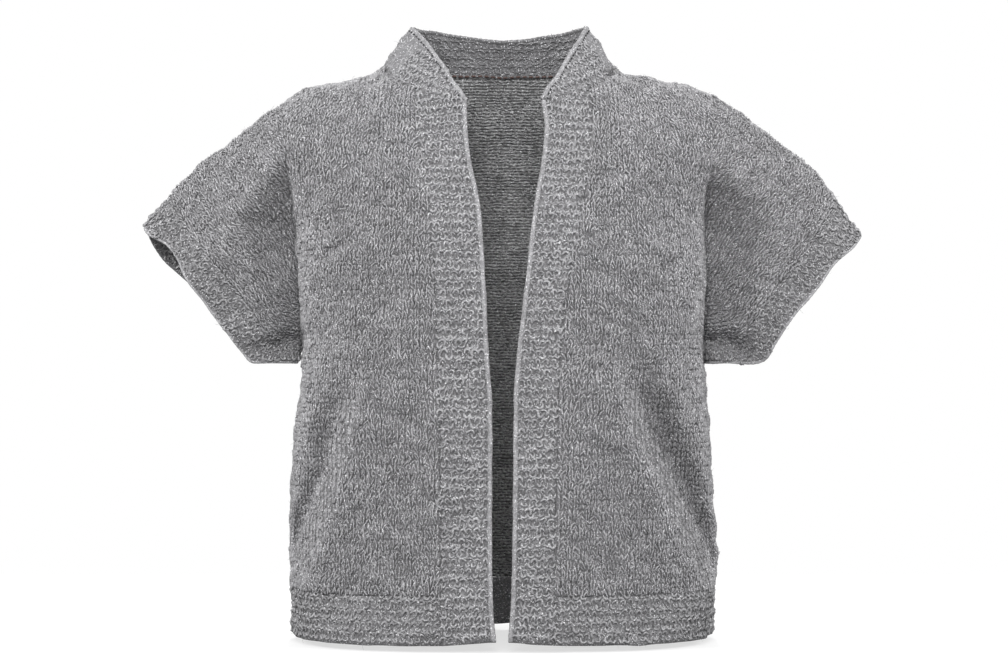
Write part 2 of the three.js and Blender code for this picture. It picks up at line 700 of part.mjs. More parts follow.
/** One closed wall: the patches, the same moved in by the wall, and a rim round every free edge. */
function wallMesh(name, patches, knit, normals) {
  const points = new Map();
  const faces = patches.flatMap(trianglesOf).map((corners) => corners.map((point) => {
    points.set(keyOf(point), point);
    return keyOf(point);
  }));
  const rim = freeEdges(faces);
  const insets = rimInsets(rim, points, normals);
  const positions = [];
  const index = new Map();
  points.forEach((point, key) => {
    const outer = insets.has(key) ? insetPoint(point, insets.get(key)) : point;
    const inner = outer.clone().addScaledVector(normals.get(key), -knit.wall);
    index.set(key, positions.length / 3);
    positions.push(...outer.toArray(), ...inner.toArray());
  });
  const triangles = [];
  faces.forEach((corners) => {
    const [i, j, k] = corners.map((key) => index.get(key));
    triangles.push(i, j, k, i + 1, k + 1, j + 1);
  });
  rim.forEach(([a, b]) => {
    const i = index.get(a);
    const j = index.get(b);
    // Facing rims of two pieces are split along the same diagonal, so their gap stays even.
    if (a < b) triangles.push(i, i + 1, j + 1, i, j + 1, j);
    else triangles.push(i, i + 1, j, i + 1, j + 1, j);
  });
  const geometry = new THREE.BufferGeometry();
  geometry.setAttribute('position', new THREE.Float32BufferAttribute(positions, 3));
  geometry.setIndex(triangles);
  geometry.computeVertexNormals();
  const material = new THREE.MeshStandardMaterial({
    color: knit.color, roughness: YARN_ROUGHNESS, metalness: 0,
  });
  const mesh = new THREE.Mesh(geometry, material);
  mesh.name = name;
  return mesh;
}

// ---- The garment -------------------------------------------------------------------------------------

/** Every piece's patches: band and cuff for each side, the fronts, the back, the hems, the collar. */
function cutPieces() {
  const levels = lowerLevels();
  const pieces = {};
  const topRows = {};
  const add = (name, ...patches) => {
    pieces[name] = [...(pieces[name] ?? []), ...patches];
  };
  Object.values(SIDES).forEach((side) => {
    const band = bandRows(side);
    add(`band_${side.name}`, patch(FACES.front, side, band));
    topRows[side.name] = { band: lastOf(band) };
    Object.values(FACES).forEach((face) => {
      const isBack = face.name === 'back';
      const upper = upperRows(face, side);
      const body = [...lowerRows(face, side, levels.body), ...upper.slice(1)];
      add(
        isBack ? 'back' : `front_${side.name}`,
        patch(face, side, body),
        patch(face, side, sleeveRows(face, side)),
      );
      add(isBack ? 'hem_back' : `hem_${side.name}`,
        patch(face, side, lowerRows(face, side, levels.hem)));
      add(`cuff_${side.name}`, patch(face, side, cuffRows(face, side)));
      topRows[side.name][face.name] = lastOf(upper);
    });
  });
  add('collar', { face: 'collar', side: 'both', points: collarPoints(topRows), flip: true });
  return pieces;
}

function buildCardigan() {
  const pieces = cutPieces();
  const move = foldMover(Object.values(pieces).flat());
  Object.values(pieces).flat().forEach((grid) => {
    grid.points = grid.points.map((row) => row.map(move));
  });
  const normals = joinedNormals(Object.values(pieces).flat());
  const cardigan = new THREE.Group();
  Object.entries(pieces).forEach(([name, patches]) => {
    const isPlain = name.startsWith('front') || name === 'back';
    cardigan.add(wallMesh(name, patches, isPlain ? PLAIN_KNIT : BORDER_KNIT, normals));
  });
  return cardigan;
}

export default buildCardigan();
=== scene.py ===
"""The looks of a short hand-knitted cardigan: thin cloth shells, the stitches knitted on them,
the rolled edges, the sewing at the neck and the hairs of the yarn.

Frame: +Z up, the front faces -Y, and left is the wearer's, +X.  The tables and the shape are in
millimetres, as in the part's own source, and meshes are made in metres.  "out" is the distance
from the middle of the body, sideways, the same on both sides.
"""

import json
import math

import bpy
import numpy as np
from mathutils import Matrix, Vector

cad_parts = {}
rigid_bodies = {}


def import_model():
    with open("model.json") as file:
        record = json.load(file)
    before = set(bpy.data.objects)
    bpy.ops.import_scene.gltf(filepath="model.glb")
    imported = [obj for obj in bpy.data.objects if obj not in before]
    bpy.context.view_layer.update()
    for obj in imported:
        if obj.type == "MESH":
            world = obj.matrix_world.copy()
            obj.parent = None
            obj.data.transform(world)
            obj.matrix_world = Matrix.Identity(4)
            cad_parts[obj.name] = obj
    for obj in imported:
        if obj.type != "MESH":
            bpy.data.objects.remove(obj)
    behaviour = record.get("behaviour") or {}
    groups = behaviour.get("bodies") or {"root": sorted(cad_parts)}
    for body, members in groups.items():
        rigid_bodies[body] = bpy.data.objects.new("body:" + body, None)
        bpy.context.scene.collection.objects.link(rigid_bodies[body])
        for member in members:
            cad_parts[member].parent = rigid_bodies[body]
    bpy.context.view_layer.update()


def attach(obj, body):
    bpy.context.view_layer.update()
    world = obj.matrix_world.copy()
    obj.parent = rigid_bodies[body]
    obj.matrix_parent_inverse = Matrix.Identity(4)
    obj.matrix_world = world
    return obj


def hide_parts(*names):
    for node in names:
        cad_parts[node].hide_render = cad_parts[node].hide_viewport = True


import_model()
MM = 0.001


# ---- Levels, widths and walls ----

HEM_Z = -550.5
HEM_BORDER_TOP_Z = -503
UNDERARM_Z = -250
SIDE_SEAM_Y = 0
HEM_LIFT_AT_OPENING = 4
HEM_LIFT_WIDTH = 45

# How far each shell's outer face lies under the knitted surface, and how thick the shell is.
SHELLS = {"plain": {"inset": 1.0, "wall": 1.8}, "border": {"inset": 1.6, "wall": 2.2}}

NECK = {
    "middle_y": 20, "back_depth": 62, "front_depth": 87, "corner_y": -62.4,
    "back_z": 13, "front_drop": 38, "drop_power": 1.3,
    "left": {"half_width": 113, "z": 15.5},
    "right": {"half_width": 120, "z": 16.5},
}


# ---- Short tables: a row for each section ----


def table(names, *rows):
    """Named columns of numbers."""
    return dict(zip(names.split(), np.array(rows, float).T))


BODY_EDGE = table(
    "z left right",
    (HEM_Z, 210, 210), (-478, 211.5, 211.5), (-418, 209.5, 209.5), (-378, 207.5, 207.5),
    (-338, 204.5, 205.5), (-298, 200.5, 200), (UNDERARM_Z, 199, 198.5), (-148, 199.5, 204),
    (-98, 201, 209.5), (-55, 205, 214), (-19, 212, 217),
)
BAND_EDGE = table(
    "z left right",
    (HEM_Z, 5.5, 6.2), (-511, 8.2, 9.1), (-416, 10, 10), (-320, 11, 10), (-272, 14, 13.2),
    (-200, 22.5, 16.5), (-128, 30.4, 21.7), (-79, 39, 31.5), (-50, 41.5, 34.6),
    (-25, 38.6, 35.5),
)
BAND_SEAM = table(
    "z left right",
    (HEM_Z, 50, 58.5), (-468, 50.2, 58.9), (-382, 52.2, 60), (-258, 57, 62.7),
    (-124, 78, 72), (-54, 87, 84), (-12, 89, 86),
)
OVERARM = table(
    "out left right y",
    (113, 15.5, 22, 20), (120, 11, 16.5, 19.5), (133, 6.5, 8, 18), (152, 3, 3.5, 16),
    (190, -6, -5, 12), (214, -16, -14, 9), (243, -34, -34.5, 6), (276, -58, -62, 4),
    (308, -86, -89, 2), (340, -124, -120.5, 1), (361, -154, -144, 0),
)
CUFF_EDGE = table(
    "at left_out left_z right_out right_z",
    (0, 203, -282, 202, -282), (0.12, 234, -282, 229, -282), (0.21, 255, -281, 247, -281),
    (0.27, 263, -275, 255, -275), (0.4, 278, -250, 275, -249), (0.5, 289, -234, 288, -231),
    (0.65, 310, -210, 308, -206), (0.8, 330, -183, 329, -181), (0.92, 351, -166, 351, -160),
    (1, 361, -154, 361, -144),
)
CUFF_SEAM = table(
    "at left_out left_z right_out right_z",
    (0, 200.5, -255, 200, -255), (0.12, 224, -256, 221, -256), (0.21, 239, -253, 233, -252),
    (0.27, 245, -246, 239, -245), (0.4, 258, -226, 254, -223), (0.5, 268, -211, 266, -207),
    (0.65, 288, -187, 286, -182), (0.8, 308, -161, 306, -156), (0.92, 324, -134, 323, -131),
    (1, 331, -113, 331, -110),
)
COLLAR_EDGE = table(
    "at left right y z",
    (0, 38.8, 36, -63, -21), (0.07, 42, 41, -57, -11), (0.14, 50.5, 49, -45, 1),
    (0.21, 59, 57.5, -31, 15), (0.28, 67, 66.5, -16, 29), (0.35, 75, 76, -1, 42),
    (0.41, 80.5, 84.5, 11, 52), (0.47, 84.5, 91, 22, 58), (0.55, 84, 90, 36, 59.5),
    (0.64, 75, 78, 52, 58.5), (0.74, 60, 60, 62, 55.5), (0.86, 34, 34, 69, 52),
    (1, 0, 0, 72, 49.5),
)
COLLAR_BULGE = 3
COLLAR_BULGE_START = 0.3
BODY_DEPTH = table(
    "z front back front_box back_box",
    (HEM_Z, -133, 93, 2.5, 2.3), (-480, -129, 96, 2.5, 2.3), (-380, -125, 103, 2.6, 2.4),
    (-280, -121, 109, 2.9, 2.7), (-200, -117, 112, 3.2, 3), (-130, -110, 110, 3.4, 3.2),
    (-60, -104, 105, 3.4, 3.2), (20, -100, 98, 3.4, 3.2),
)
SLEEVE_DEPTH = table(
    "at front back", (0, 50, 52), (0.35, 58, 60), (0.7, 56, 58), (1, 50, 53), (2, 40, 44)
)
THROAT = {"front": 30, "back": 40}

# The large folds, deeper than the solids' own: a crest with its height and its outer and inner
# widths, a dip on its outer side with its depth, width and place, and a path of (out, z).
FOLDS = [
    ("front", "right", (10, 9, 24), (29, 14, 24),
     ((122, -268), (131, -312), (144, -352), (153, -391), (163, -422), (175, -451), (187, -482),
      (195, -508))),
    ("front", "left", (11, 9, 26), (42, 15.5, 24),
     ((96, -262), (106, -297), (118, -328), (131, -359), (146, -391), (158, -422), (172, -451),
      (186, -482), (194, -508))),
    ("back", "right", (6, 20, 24), (8, 20, 27), ((128, -255), (140, -330), (158, -400), (186, -470))),
    ("back", "left", (6, 20, 24), (8, 18, 26), ((118, -265), (133, -330), (155, -410), (190, -485))),
    ("front", "right", (4, 13, 13), (5, 12, 18), ((284, -62), (296, -105), (301, -140))),
]
FOLD_FADE = {"crest": 0.25, "dip": 0.5, "foot": 0.25, "left_at_foot": 0.3}
# Folds and creases go in and out of the front and back, and fade where the cloth turns sideways.
LIFT_FACING = (0.05, 0.45)

# Small creases: how far the crest stands (a trough if negative), its width, and
# its path as places (out, height above the underarm).
CREASES = [
    ("front", "right", -5.5, 5, ((181, 69), (165, 78), (148, 90))),
    ("front", "right", 3.0, 10, ((174, 57), (141, 80))),
    ("front", "right", -13.0, 9, ((254, -20), (225, -13), (196, -5))),
    ("front", "left", -13.0, 9, ((246, -20), (222, -13), (196, -5))),
    ("front", "right", -5.0, 4, ((122, 198), (117, 185))),
    ("front", "right", -4.0, 5, ((147, 126), (116, 123))),
    ("front", "right", -3.5, 5, ((119, 143), (109, 130))),
    ("front", "left", -4.5, 5, ((84, 146), (109, 158))),
    ("front", "left", -4.0, 5, ((147, 114), (162, 110))),
    ("front", "left", -4.0, 6, ((150, -165), (160, -200), (169, -228))),
    ("front", "left", 2.0, 7, ((143, -172), (161, -236))),
    ("front", "right", -6.0, 7, ((270, 109), (240, 108), (214, 104))),
    ("front", "right", 3.2, 10, ((268, 121), (216, 118))),
    ("front", "right", 3.2, 10, ((265, 179), (275, 139))),
    ("front", "right", -7.0, 6, ((291, 168), (299, 140), (304, 118), (313, 100))),
    ("front", "right", -4.0, 9, ((218, 205), (214, 170), (210, 140))),
    ("front", "left", -4.0, 9, ((222, 205), (218, 170), (214, 140))),
    ("back", "right", -3.6, 6, ((150, 60), (186, 84))),
    ("back", "left", -3.4, 6, ((146, 72), (180, 92))),
    ("back", "left", -3.0, 6, ((90, 130), (60, 120))),
    ("back", "right", -3.0, 7, ((222, 96), (268, 108))),
    ("back", "left", -3.2, 7, ((224, 110), (262, 116))),
]
CREASE_FADE = 0.3
CREASE_LEFT_AT_ENDS = 0.3

# Soft unevenness of the whole cloth: waves as (amplitude, length) in millimetres.
CLOTH_WAVES = ((0.9, 95), (0.7, 52), (0.75, 31), (0.55, 20), (0.3, 14))


# ---- Mesh steps ----

HEM_ROWS = 9
LOWER_ROWS = 44
UPPER_ROWS = 44
SLEEVE_COLUMNS = 22
CUFF_COLUMNS = 8
BAND_COLUMNS = 10
COLLAR_ROWS = 14
ARC_SAMPLES = 160
LEVEL_CROWDING = 0.7
COLUMN_BLEND_POWER = 3

FACES = {
    "front": {"sign": -1, "reach": 200, "columns": 51, "neck": 21},
    "back": {"sign": 1, "reach": 160, "columns": 54, "neck": 24},
}
SIDES = {"left": 1, "right": -1}
SHOULDER_POWER = 0.5
NECK_POWER = 1
NECK_BLEND = 50
VALLEY_FADE = (0.42, 0.78)
SLEEVE_SECTION_POWER = 0.9
VALLEY_WIDTH = 0.95
MOUTH_GAPE = {
    "front": {"drawn": 10.5, "at": 0.87, "width": 0.13},
    "back": {"drawn": -10, "at": 0.82, "width": 0.2},
    "out": -0.77, "z": 0.64,
}


# ---- Shape of the garment ----


def lerp(a, b, t):
    return a + (b - a) * t


def smoothstep(value, low, high):
    t = np.clip((value - low) / (high - low), 0, 1)
    return t * t * (3 - 2 * t)


def steps(count):
    return np.linspace(0, 1, count + 1)


def read_table(rows, key, column, at):
    """Smooth value of one column, by cubic steps whose slopes come from its rows."""
    keys, values = rows[key], rows[column]
    last = len(keys) - 1
    at = np.clip(at, keys[0], keys[last])
    low = np.clip(np.searchsorted(keys, at, side="left") - 1, 0, last - 1)

    def slope(start, end):
        return (values[end] - values[start]) / (keys[end] - keys[start])

    step = keys[low + 1] - keys[low]
    t = (at - keys[low]) / step
    start_slope = slope(np.maximum(low - 1, 0), low + 1) * step
    end_slope = slope(low, np.minimum(low + 2, last)) * step
    return (
        values[low] * (1 + 2 * t) * (1 - t) ** 2 + start_slope * t * (1 - t) ** 2
        + values[low + 1] * t * t * (3 - 2 * t) + end_slope * t * t * (t - 1)
    )


def place(out, y, z):
    """Points as rows of out, y and z."""
    return np.stack(np.broadcast_arrays(out, y, z), axis=-1).astype(float)


def neck_front(side, out):
    half_width, z = NECK[side]["half_width"], NECK[side]["z"]
    share = np.sqrt(np.maximum(0, 1 - (out / half_width) ** 2))
    y = NECK["middle_y"] - NECK["front_depth"] * share
    drop = (NECK["middle_y"] - y) / (NECK["middle_y"] - NECK["corner_y"])
    return place(out, y, z - NECK["front_drop"] * drop ** NECK["drop_power"])


def neck_back(side, turn):
    half_width, z = NECK[side]["half_width"], NECK[side]["z"]
    angle = turn * math.pi / 2
    return place(
        half_width * np.sin(angle),
        NECK["middle_y"] + NECK["back_depth"] * np.cos(angle),
        lerp(NECK["back_z"], z, np.sin(angle) ** 2),
    )


def overarm(side, out):
    return place(out, read_table(OVERARM, "out", "y", out), read_table(OVERARM, "out", side, out))


def shoulder_end(side):
    """The top of the shoulder's fold, where the sleeve begins."""
    return overarm(side, BODY_EDGE[side][-1])


def top_line(face, side, across):
    """Top line of a front or back: its neck seam, then its shoulder seam."""
    half_width = NECK[side]["half_width"]
    neck_share = FACES[face]["neck"] / FACES[face]["columns"]
    t = np.clip(across / neck_share, 0, 1)
    if face == "back":
        neck = neck_back(side, t)
    else:
        start = math.asin(BAND_SEAM[side][-1] / half_width)
        neck = neck_front(side, half_width * np.sin(lerp(start, math.pi / 2, t)))
    past = np.clip((across - neck_share) / (1 - neck_share), 0, 1)
    shoulder = overarm(side, lerp(half_width, shoulder_end(side)[0], past))
    return np.where(np.expand_dims(across > neck_share, -1), shoulder, neck)


def column_depth(face, side, top, z):
    """Depth of the body's middle, eased in below the top line at this place."""
    drop = np.clip((top[..., 2] - z) / FACES[face]["reach"], 0, 1)
    neckness = np.clip((NECK[side]["half_width"] - top[..., 0]) / NECK_BLEND, 0, 1)
    power = lerp(SHOULDER_POWER, NECK_POWER, neckness)
    eased = (1 - (1 - drop) ** 2) ** power
    return lerp(top[..., 1], read_table(BODY_DEPTH, "z", face, z), eased)


def fullness(face, z, out, edge):
    power = read_table(BODY_DEPTH, "z", f"{face}_box", z)
    return np.maximum(0, 1 - np.minimum(out / edge, 1) ** power) ** (1 / power)


def sleeve_section(up):
    return (2 * np.sqrt(np.clip(up * (1 - up), 0, 1))) ** SLEEVE_SECTION_POWER


def depth_near_fold(face, side, up, column_y, full):
    """Depth of the cloth as it nears the fold: full 1 away from it, 0 at its bottom."""
    seam_y = lerp(SIDE_SEAM_Y, shoulder_end(side)[1], up)
    throat = FACES[face]["sign"] * THROAT[face] * sleeve_section(up)
    return lerp(seam_y, column_y, full) + throat * (1 - full) ** 2


def fold_depth(face, side, up):
    """Depth at the fold between body and sleeve, deep at the underarm, gone at the shoulder."""
    top = shoulder_end(side)
    column_y = column_depth(face, side, top, lerp(UNDERARM_Z, top[2], up))
    return depth_near_fold(face, side, up, column_y, smoothstep(up, *VALLEY_FADE))


def lower_point(face, side, z, out):
    edge = read_table(BODY_EDGE, "z", side, z)
    middle = read_table(BODY_DEPTH, "z", face, z)
    return place(out, lerp(SIDE_SEAM_Y, middle, fullness(face, z, out, edge)), z)


def upper_point(face, side, top, out, up):
    z = lerp(UNDERARM_Z, top[..., 2], up)
    edge_z = lerp(UNDERARM_Z, shoulder_end(side)[2], up)
    edge = read_table(BODY_EDGE, "z", side, edge_z)
    full = lerp(fullness(face, z, out, edge), 1, smoothstep(up, *VALLEY_FADE))
    return place(out, depth_near_fold(face, side, up, column_depth(face, side, top, z), full), z)


def panel_point(face, side, across, up):
    """A point of a front or back above the underarm."""
    inner_top = top_line(face, side, np.zeros(1))[0]
    outer_top = shoulder_end(side)
    top = top_line(face, side, across)
    inner_z = lerp(UNDERARM_Z, inner_top[2], up)
    outer_z = lerp(UNDERARM_Z, outer_top[2], up)
    inner = read_table(BAND_SEAM, "z", side, inner_z) if face == "front" else 0
    outer = read_table(BODY_EDGE, "z", side, outer_z)
    bow = top[..., 0] - lerp(inner_top[0], outer_top[0], across)
    return upper_point(face, side, top, lerp(inner, outer, across) + up * bow, up)


def cuff_place(rows, side, up):
    return read_table(rows, "at", f"{side}_out", up), read_table(rows, "at", f"{side}_z", up)


def sleeve_point(face, side, along, up):
    """A point of the sleeve: along 0 at the fold, 1 at the cuff's seam, 2 at its edge."""
    shoulder = shoulder_end(side)
    seam_out, seam_z = cuff_place(CUFF_SEAM, side, up)
    seam_top = overarm(side, CUFF_SEAM[f"{side}_out"][-1])
    within = np.minimum(along, 1)
    past = np.maximum(along - 1, 0)
    # The plain sleeve.
    over = overarm(side, lerp(shoulder[0], seam_top[0], within))
    fold_z = lerp(UNDERARM_Z, shoulder[2], up)
    fold_out = read_table(BODY_EDGE, "z", side, fold_z)
    out = lerp(fold_out, seam_out, within)
    z = lerp(fold_z, seam_z, within) + up * (over[..., 2] - lerp(shoulder[2], seam_top[2], within))
    # The cuff.
    edge_out, edge_z = cuff_place(CUFF_EDGE, side, up)
    gape = MOUTH_GAPE[face]
    near = np.exp(-(((up - gape["at"]) / gape["width"]) ** 2))
    shift = (side == "right") * gape["drawn"] * near * min(1, (1 - up) / (1 - gape["at"])) * up
    out = np.where(along > 1, lerp(seam_out, edge_out, past) + shift * past * MOUTH_GAPE["out"], out)
    z = np.where(along > 1, lerp(seam_z, edge_z, past) + shift * past * MOUTH_GAPE["z"], z)
    cuff_over = overarm(side, lerp(seam_top[0], CUFF_EDGE[f"{side}_out"][-1], past))
    over_y = np.where(along > 1, cuff_over[..., 1], over[..., 1])
    half = read_table(SLEEVE_DEPTH, "at", face, along) * sleeve_section(up)
    lobe = lerp(SIDE_SEAM_Y, over_y, up) + FACES[face]["sign"] * half
    y = lerp(fold_depth(face, side, up), lobe, smoothstep(along, 0, VALLEY_WIDTH))
    return place(out, y, z)


# ---- Grids of points ----


HEM_LEVELS = lerp(HEM_Z, HEM_BORDER_TOP_Z, steps(HEM_ROWS))
BODY_LEVELS = lerp(HEM_BORDER_TOP_Z, UNDERARM_Z, steps(LOWER_ROWS))


def upper_levels():
    t = steps(UPPER_ROWS)
    return lerp(t, (1 - np.cos(math.pi * t)) / 2, LEVEL_CROWDING)


def lift_hem(points, z):
    """The hem's free edge rises a little beside the opening."""
    share = np.clip((HEM_BORDER_TOP_Z - z) / (HEM_BORDER_TOP_Z - HEM_Z), 0, 1)
    near = np.exp(-((points[..., 0] / HEM_LIFT_WIDTH) ** 2))
    points[..., 2] += np.where(points[..., 1] < SIDE_SEAM_Y, HEM_LIFT_AT_OPENING * near * share, 0)
    return points


def run_lengths(points, axes=(0, 1, 2)):
    """Length along the last line of points, from its start to each of them."""
    runs = np.linalg.norm(np.diff(points[..., list(axes)], axis=-2), axis=-1)
    return np.concatenate([np.zeros(runs.shape[:-1] + (1,)), np.cumsum(runs, axis=-1)], axis=-1)


def heights(points, axes=(0, 1, 2)):
    """Length up each column of a grid of points."""
    return run_lengths(np.swapaxes(points, 0, 1), axes).T


def along_rows(values, count):
    """A grid with one value all along each row."""
    return np.repeat(values[:, None], count, axis=1)


def even_columns(count, point_at):
    """Where a row's columns stand so that they are the same length apart on the cloth."""
    shares = np.sin(steps(ARC_SAMPLES) * math.pi / 2)
    lengths = run_lengths(point_at(shares))
    return np.interp(steps(count) * lengths[-1], lengths, shares)


def lower_rows(face, side, levels):
    rows = []
    for z in levels:
        inner = read_table(BAND_SEAM, "z", side, z) if face == "front" else 0
        edge = read_table(BODY_EDGE, "z", side, z)
        across = even_columns(
            FACES[face]["columns"], lambda t: lower_point(face, side, z, lerp(inner, edge, t))
        )
        rows.append(lift_hem(lower_point(face, side, z, lerp(inner, edge, across)), z))
    return np.array(rows)


def upper_rows(face, side):
    count = FACES[face]["columns"]
    rows = []
    for up in upper_levels():
        even = even_columns(count, lambda t: panel_point(face, side, t, up))
        across = lerp(even, steps(count), up ** COLUMN_BLEND_POWER)
        rows.append(panel_point(face, side, across, up))
    return np.array(rows)


def sleeve_rows(face, side, start, count):
    """Rows of the plain sleeve (start 0) or of the cuff (start 1)."""
    return np.array([sleeve_point(face, side, start + steps(count), up) for up in upper_levels()])


def band_rows(side, levels):
    rows = []
    t = steps(BAND_COLUMNS)
    for z in levels:
        free = read_table(BAND_EDGE, "z", side, z)
        seam = read_table(BAND_SEAM, "z", side, z)
        rows.append(lift_hem(lower_point("front", side, z, lerp(free, seam, t)), z))
    free_top, seam_top = BAND_EDGE[side][-1], BAND_SEAM[side][-1]
    seam_top_z = neck_front(side, seam_top)[2]
    for up in upper_levels()[1:]:
        top = neck_front(side, lerp(free_top, seam_top, t))
        z = lerp(UNDERARM_Z, top[:, 2], up)
        free = read_table(BAND_EDGE, "z", side, z)
        seam = read_table(BAND_SEAM, "z", side, lerp(UNDERARM_Z, seam_top_z, up))
        rows.append(upper_point("front", side, top, lerp(free, seam, t), up))
    return np.array(rows)


def collar_columns(side, base):
    """Collar points of one side: columns from the front corner to the middle of the back."""
    lengths = run_lengths(base)
    share = lengths / lengths[-1]
    edge = place(
        read_table(COLLAR_EDGE, "at", side, share),
        read_table(COLLAR_EDGE, "at", "y", share),
        read_table(COLLAR_EDGE, "at", "z", share),
    )
    outward = np.stack([base[:, 0], base[:, 1] - NECK["middle_y"]], axis=-1)
    outward /= np.linalg.norm(outward, axis=-1, keepdims=True)
    full_bulge = COLLAR_BULGE * smoothstep(share, 0, COLLAR_BULGE_START)
    t = steps(COLLAR_ROWS)[:, None]
    points = lerp(base[None], edge[None], t[..., None])
    bulge = 4 * full_bulge * t * (1 - t)
    points[..., :2] += bulge[..., None] * outward
    return points


# ---- Patches: a grid of points and the knitting's own coordinates on it ----

# Sleeves, the other face of a cuff, and the inner faces lie apart in the knitting's coordinates.
SLEEVE_APART = 1.0
INSIDE_APART = -6.0


class Patch:
    """Points in millimetres with side applied, and knit: metres across and up the knitting."""

    def __init__(self, face, side, points, across, up, flip=None):
        self.face, self.side = face, side
        sign = SIDES.get(side, 1)
        self.points = points * np.array([sign, 1, 1])
        self.knit = np.stack(np.broadcast_arrays(across, up), axis=-1) * MM
        self.flip = flip if flip is not None else FACES[face]["sign"] * sign > 0

    def upward(self):
        """Direction up the knitting at each point."""
        rows, columns = (np.gradient(self.points, axis=a) for a in (0, 1))
        (ur, uc), (vr, vc) = (
            [np.gradient(self.knit[..., k], axis=a)[..., None] for a in (0, 1)] for k in (0, 1)
        )
        turn = vr * uc - vc * ur
        ahead = (rows * uc - columns * ur) * np.sign(turn)
        length = np.linalg.norm(ahead, axis=-1, keepdims=True)
        return ahead / np.maximum(length, 1e-9)


def panel_patches(face, side):
    """Hem, body, and sleeve of a front or back, and the same face of the cuff."""
    sign = SIDES[side]
    hem = lower_rows(face, side, HEM_LEVELS)
    lower = lower_rows(face, side, BODY_LEVELS)
    upper = upper_rows(face, side)
    sleeve = sleeve_rows(face, side, 0, SLEEVE_COLUMNS)
    cuff = sleeve_rows(face, side, 1, CUFF_COLUMNS)

    # Wales run straight up the body, and keep their distance along the cloth.
    inner_shift = upper[0, 0, 0]
    upper_across = run_lengths(upper) + upper[:, :1, 0]
    body_across = np.concatenate([run_lengths(lower) + inner_shift, upper_across[1:]])
    upper_up = heights(upper, (1, 2))
    lower_up = along_rows(BODY_LEVELS - UNDERARM_Z, lower.shape[1])
    body_up = np.concatenate([lower_up, upper_up[1:]])
    body = np.concatenate([lower, upper[1:]])

    # On the sleeve they run beside the cuff.
    sleeve_runs = run_lengths(sleeve)
    sleeve_across = sleeve_runs - sleeve_runs[:, -1:] + SLEEVE_APART / MM
    sleeve_up = along_rows(run_lengths(sleeve[:, -1]), sleeve.shape[1])
    cuff_round = along_rows(run_lengths(cuff[:, -1]), cuff.shape[1])
    face_sign = FACES[face]["sign"]
    return {
        "hem": Patch(face, side, hem, sign * (run_lengths(hem) + inner_shift),
                     (HEM_LEVELS - HEM_Z)[:, None]),
        "body": Patch(face, side, body, sign * body_across, body_up),
        "sleeve": Patch(face, side, sleeve, sign * sleeve_across, sleeve_up),
        "cuff": Patch(face, side, cuff, face_sign * cuff_round, run_lengths(cuff)),
        "top": upper[-1],
    }


def garment_patches():
    """Every piece's patches, by the name of the node that it stands for."""
    pieces = {}
    necks = {}
    for side, sign in SIDES.items():
        band = band_rows(side, np.concatenate([HEM_LEVELS, BODY_LEVELS[1:]]))
        below = len(HEM_LEVELS) + len(BODY_LEVELS) - 2
        rising = heights(band[below:], (1, 2))
        levels = np.concatenate([HEM_LEVELS, BODY_LEVELS[1:-1]]) - UNDERARM_Z
        band_up = np.concatenate([along_rows(levels, BAND_COLUMNS + 1), rising])
        pieces[f"band_{side}"] = [Patch("front", side, band, sign * run_lengths(band), band_up)]
        front, back = panel_patches("front", side), panel_patches("back", side)
        pieces[f"front_{side}"] = [front["body"], front["sleeve"]]
        pieces[f"hem_{side}"] = [front["hem"]]
        pieces[f"cuff_{side}"] = [front["cuff"], back["cuff"]]
        pieces.setdefault("back", []).extend([back["body"], back["sleeve"]])
        pieces.setdefault("hem_back", []).append(back["hem"])
        neck = np.concatenate([band[-1], front["top"][1 : FACES["front"]["neck"] + 1]])
        necks[side] = np.concatenate([neck, back["top"][: FACES["back"]["neck"]][::-1]])
    halves = {side: collar_columns(side, necks[side]) for side in SIDES}
    round_neck = np.concatenate(
        [halves["right"] * (-1, 1, 1), halves["left"][:, ::-1][:, 1:]], axis=1
    )
    around = run_lengths(round_neck[0])
    around = np.repeat(around[None] - around[-1] / 2, COLLAR_ROWS + 1, axis=0)
    height = heights(round_neck)
    pieces["collar"] = [Patch("collar", "both", round_neck, around, height, flip=True)]
    return pieces


# ---- Folds, creases and waves of the joined surface ----

KEYS_PER_MM = 1000
WAVE_SEED = 11
WAVES_EACH = 4
LAST_WAVE_PHASE = 7


def near_path(path, out, z):
    """Signed distance from a path (positive outside it), and the share of the path there."""
    total = len(path) - 1
    best = np.full(out.shape, np.inf)
    signed, share = np.zeros(out.shape), np.zeros(out.shape)
    for i, (start, end) in enumerate(zip(path, path[1:])):
        run = np.subtract(end, start)
        length = math.hypot(*run)
        along = ((out - start[0]) * run[0] + (z - start[1]) * run[1]) / length**2
        t = np.clip(along, 0, 1)
        distance = np.hypot(out - start[0] - t * run[0], z - start[1] - t * run[1])
        outside = (out - start[0]) * -run[1] + (z - start[1]) * run[0]
        closer = distance < best
        best = np.where(closer, distance, best)
        signed = np.where(closer, np.sign(outside) * distance, signed)
        share = np.where(closer, (i + t) / total, share)
    return signed, share


def fold_lift(crest, dip, path, out, z):
    outside, share = near_path(path, out, z)
    crest_height, outer_width, inner_width = crest
    dip_depth, dip_width, dip_at = dip
    width = np.where(outside < 0, inner_width, outer_width)
    crest = crest_height * np.exp(-((outside / width) ** 2))
    dip = dip_depth * np.exp(-(((outside - dip_at) / dip_width) ** 2))
    foot = smoothstep(share, 1 - FOLD_FADE["foot"], 1)
    dip *= smoothstep(share, 0, FOLD_FADE["dip"]) * lerp(1, FOLD_FADE["left_at_foot"], foot)
    return crest * smoothstep(share, 0, FOLD_FADE["crest"]) - dip


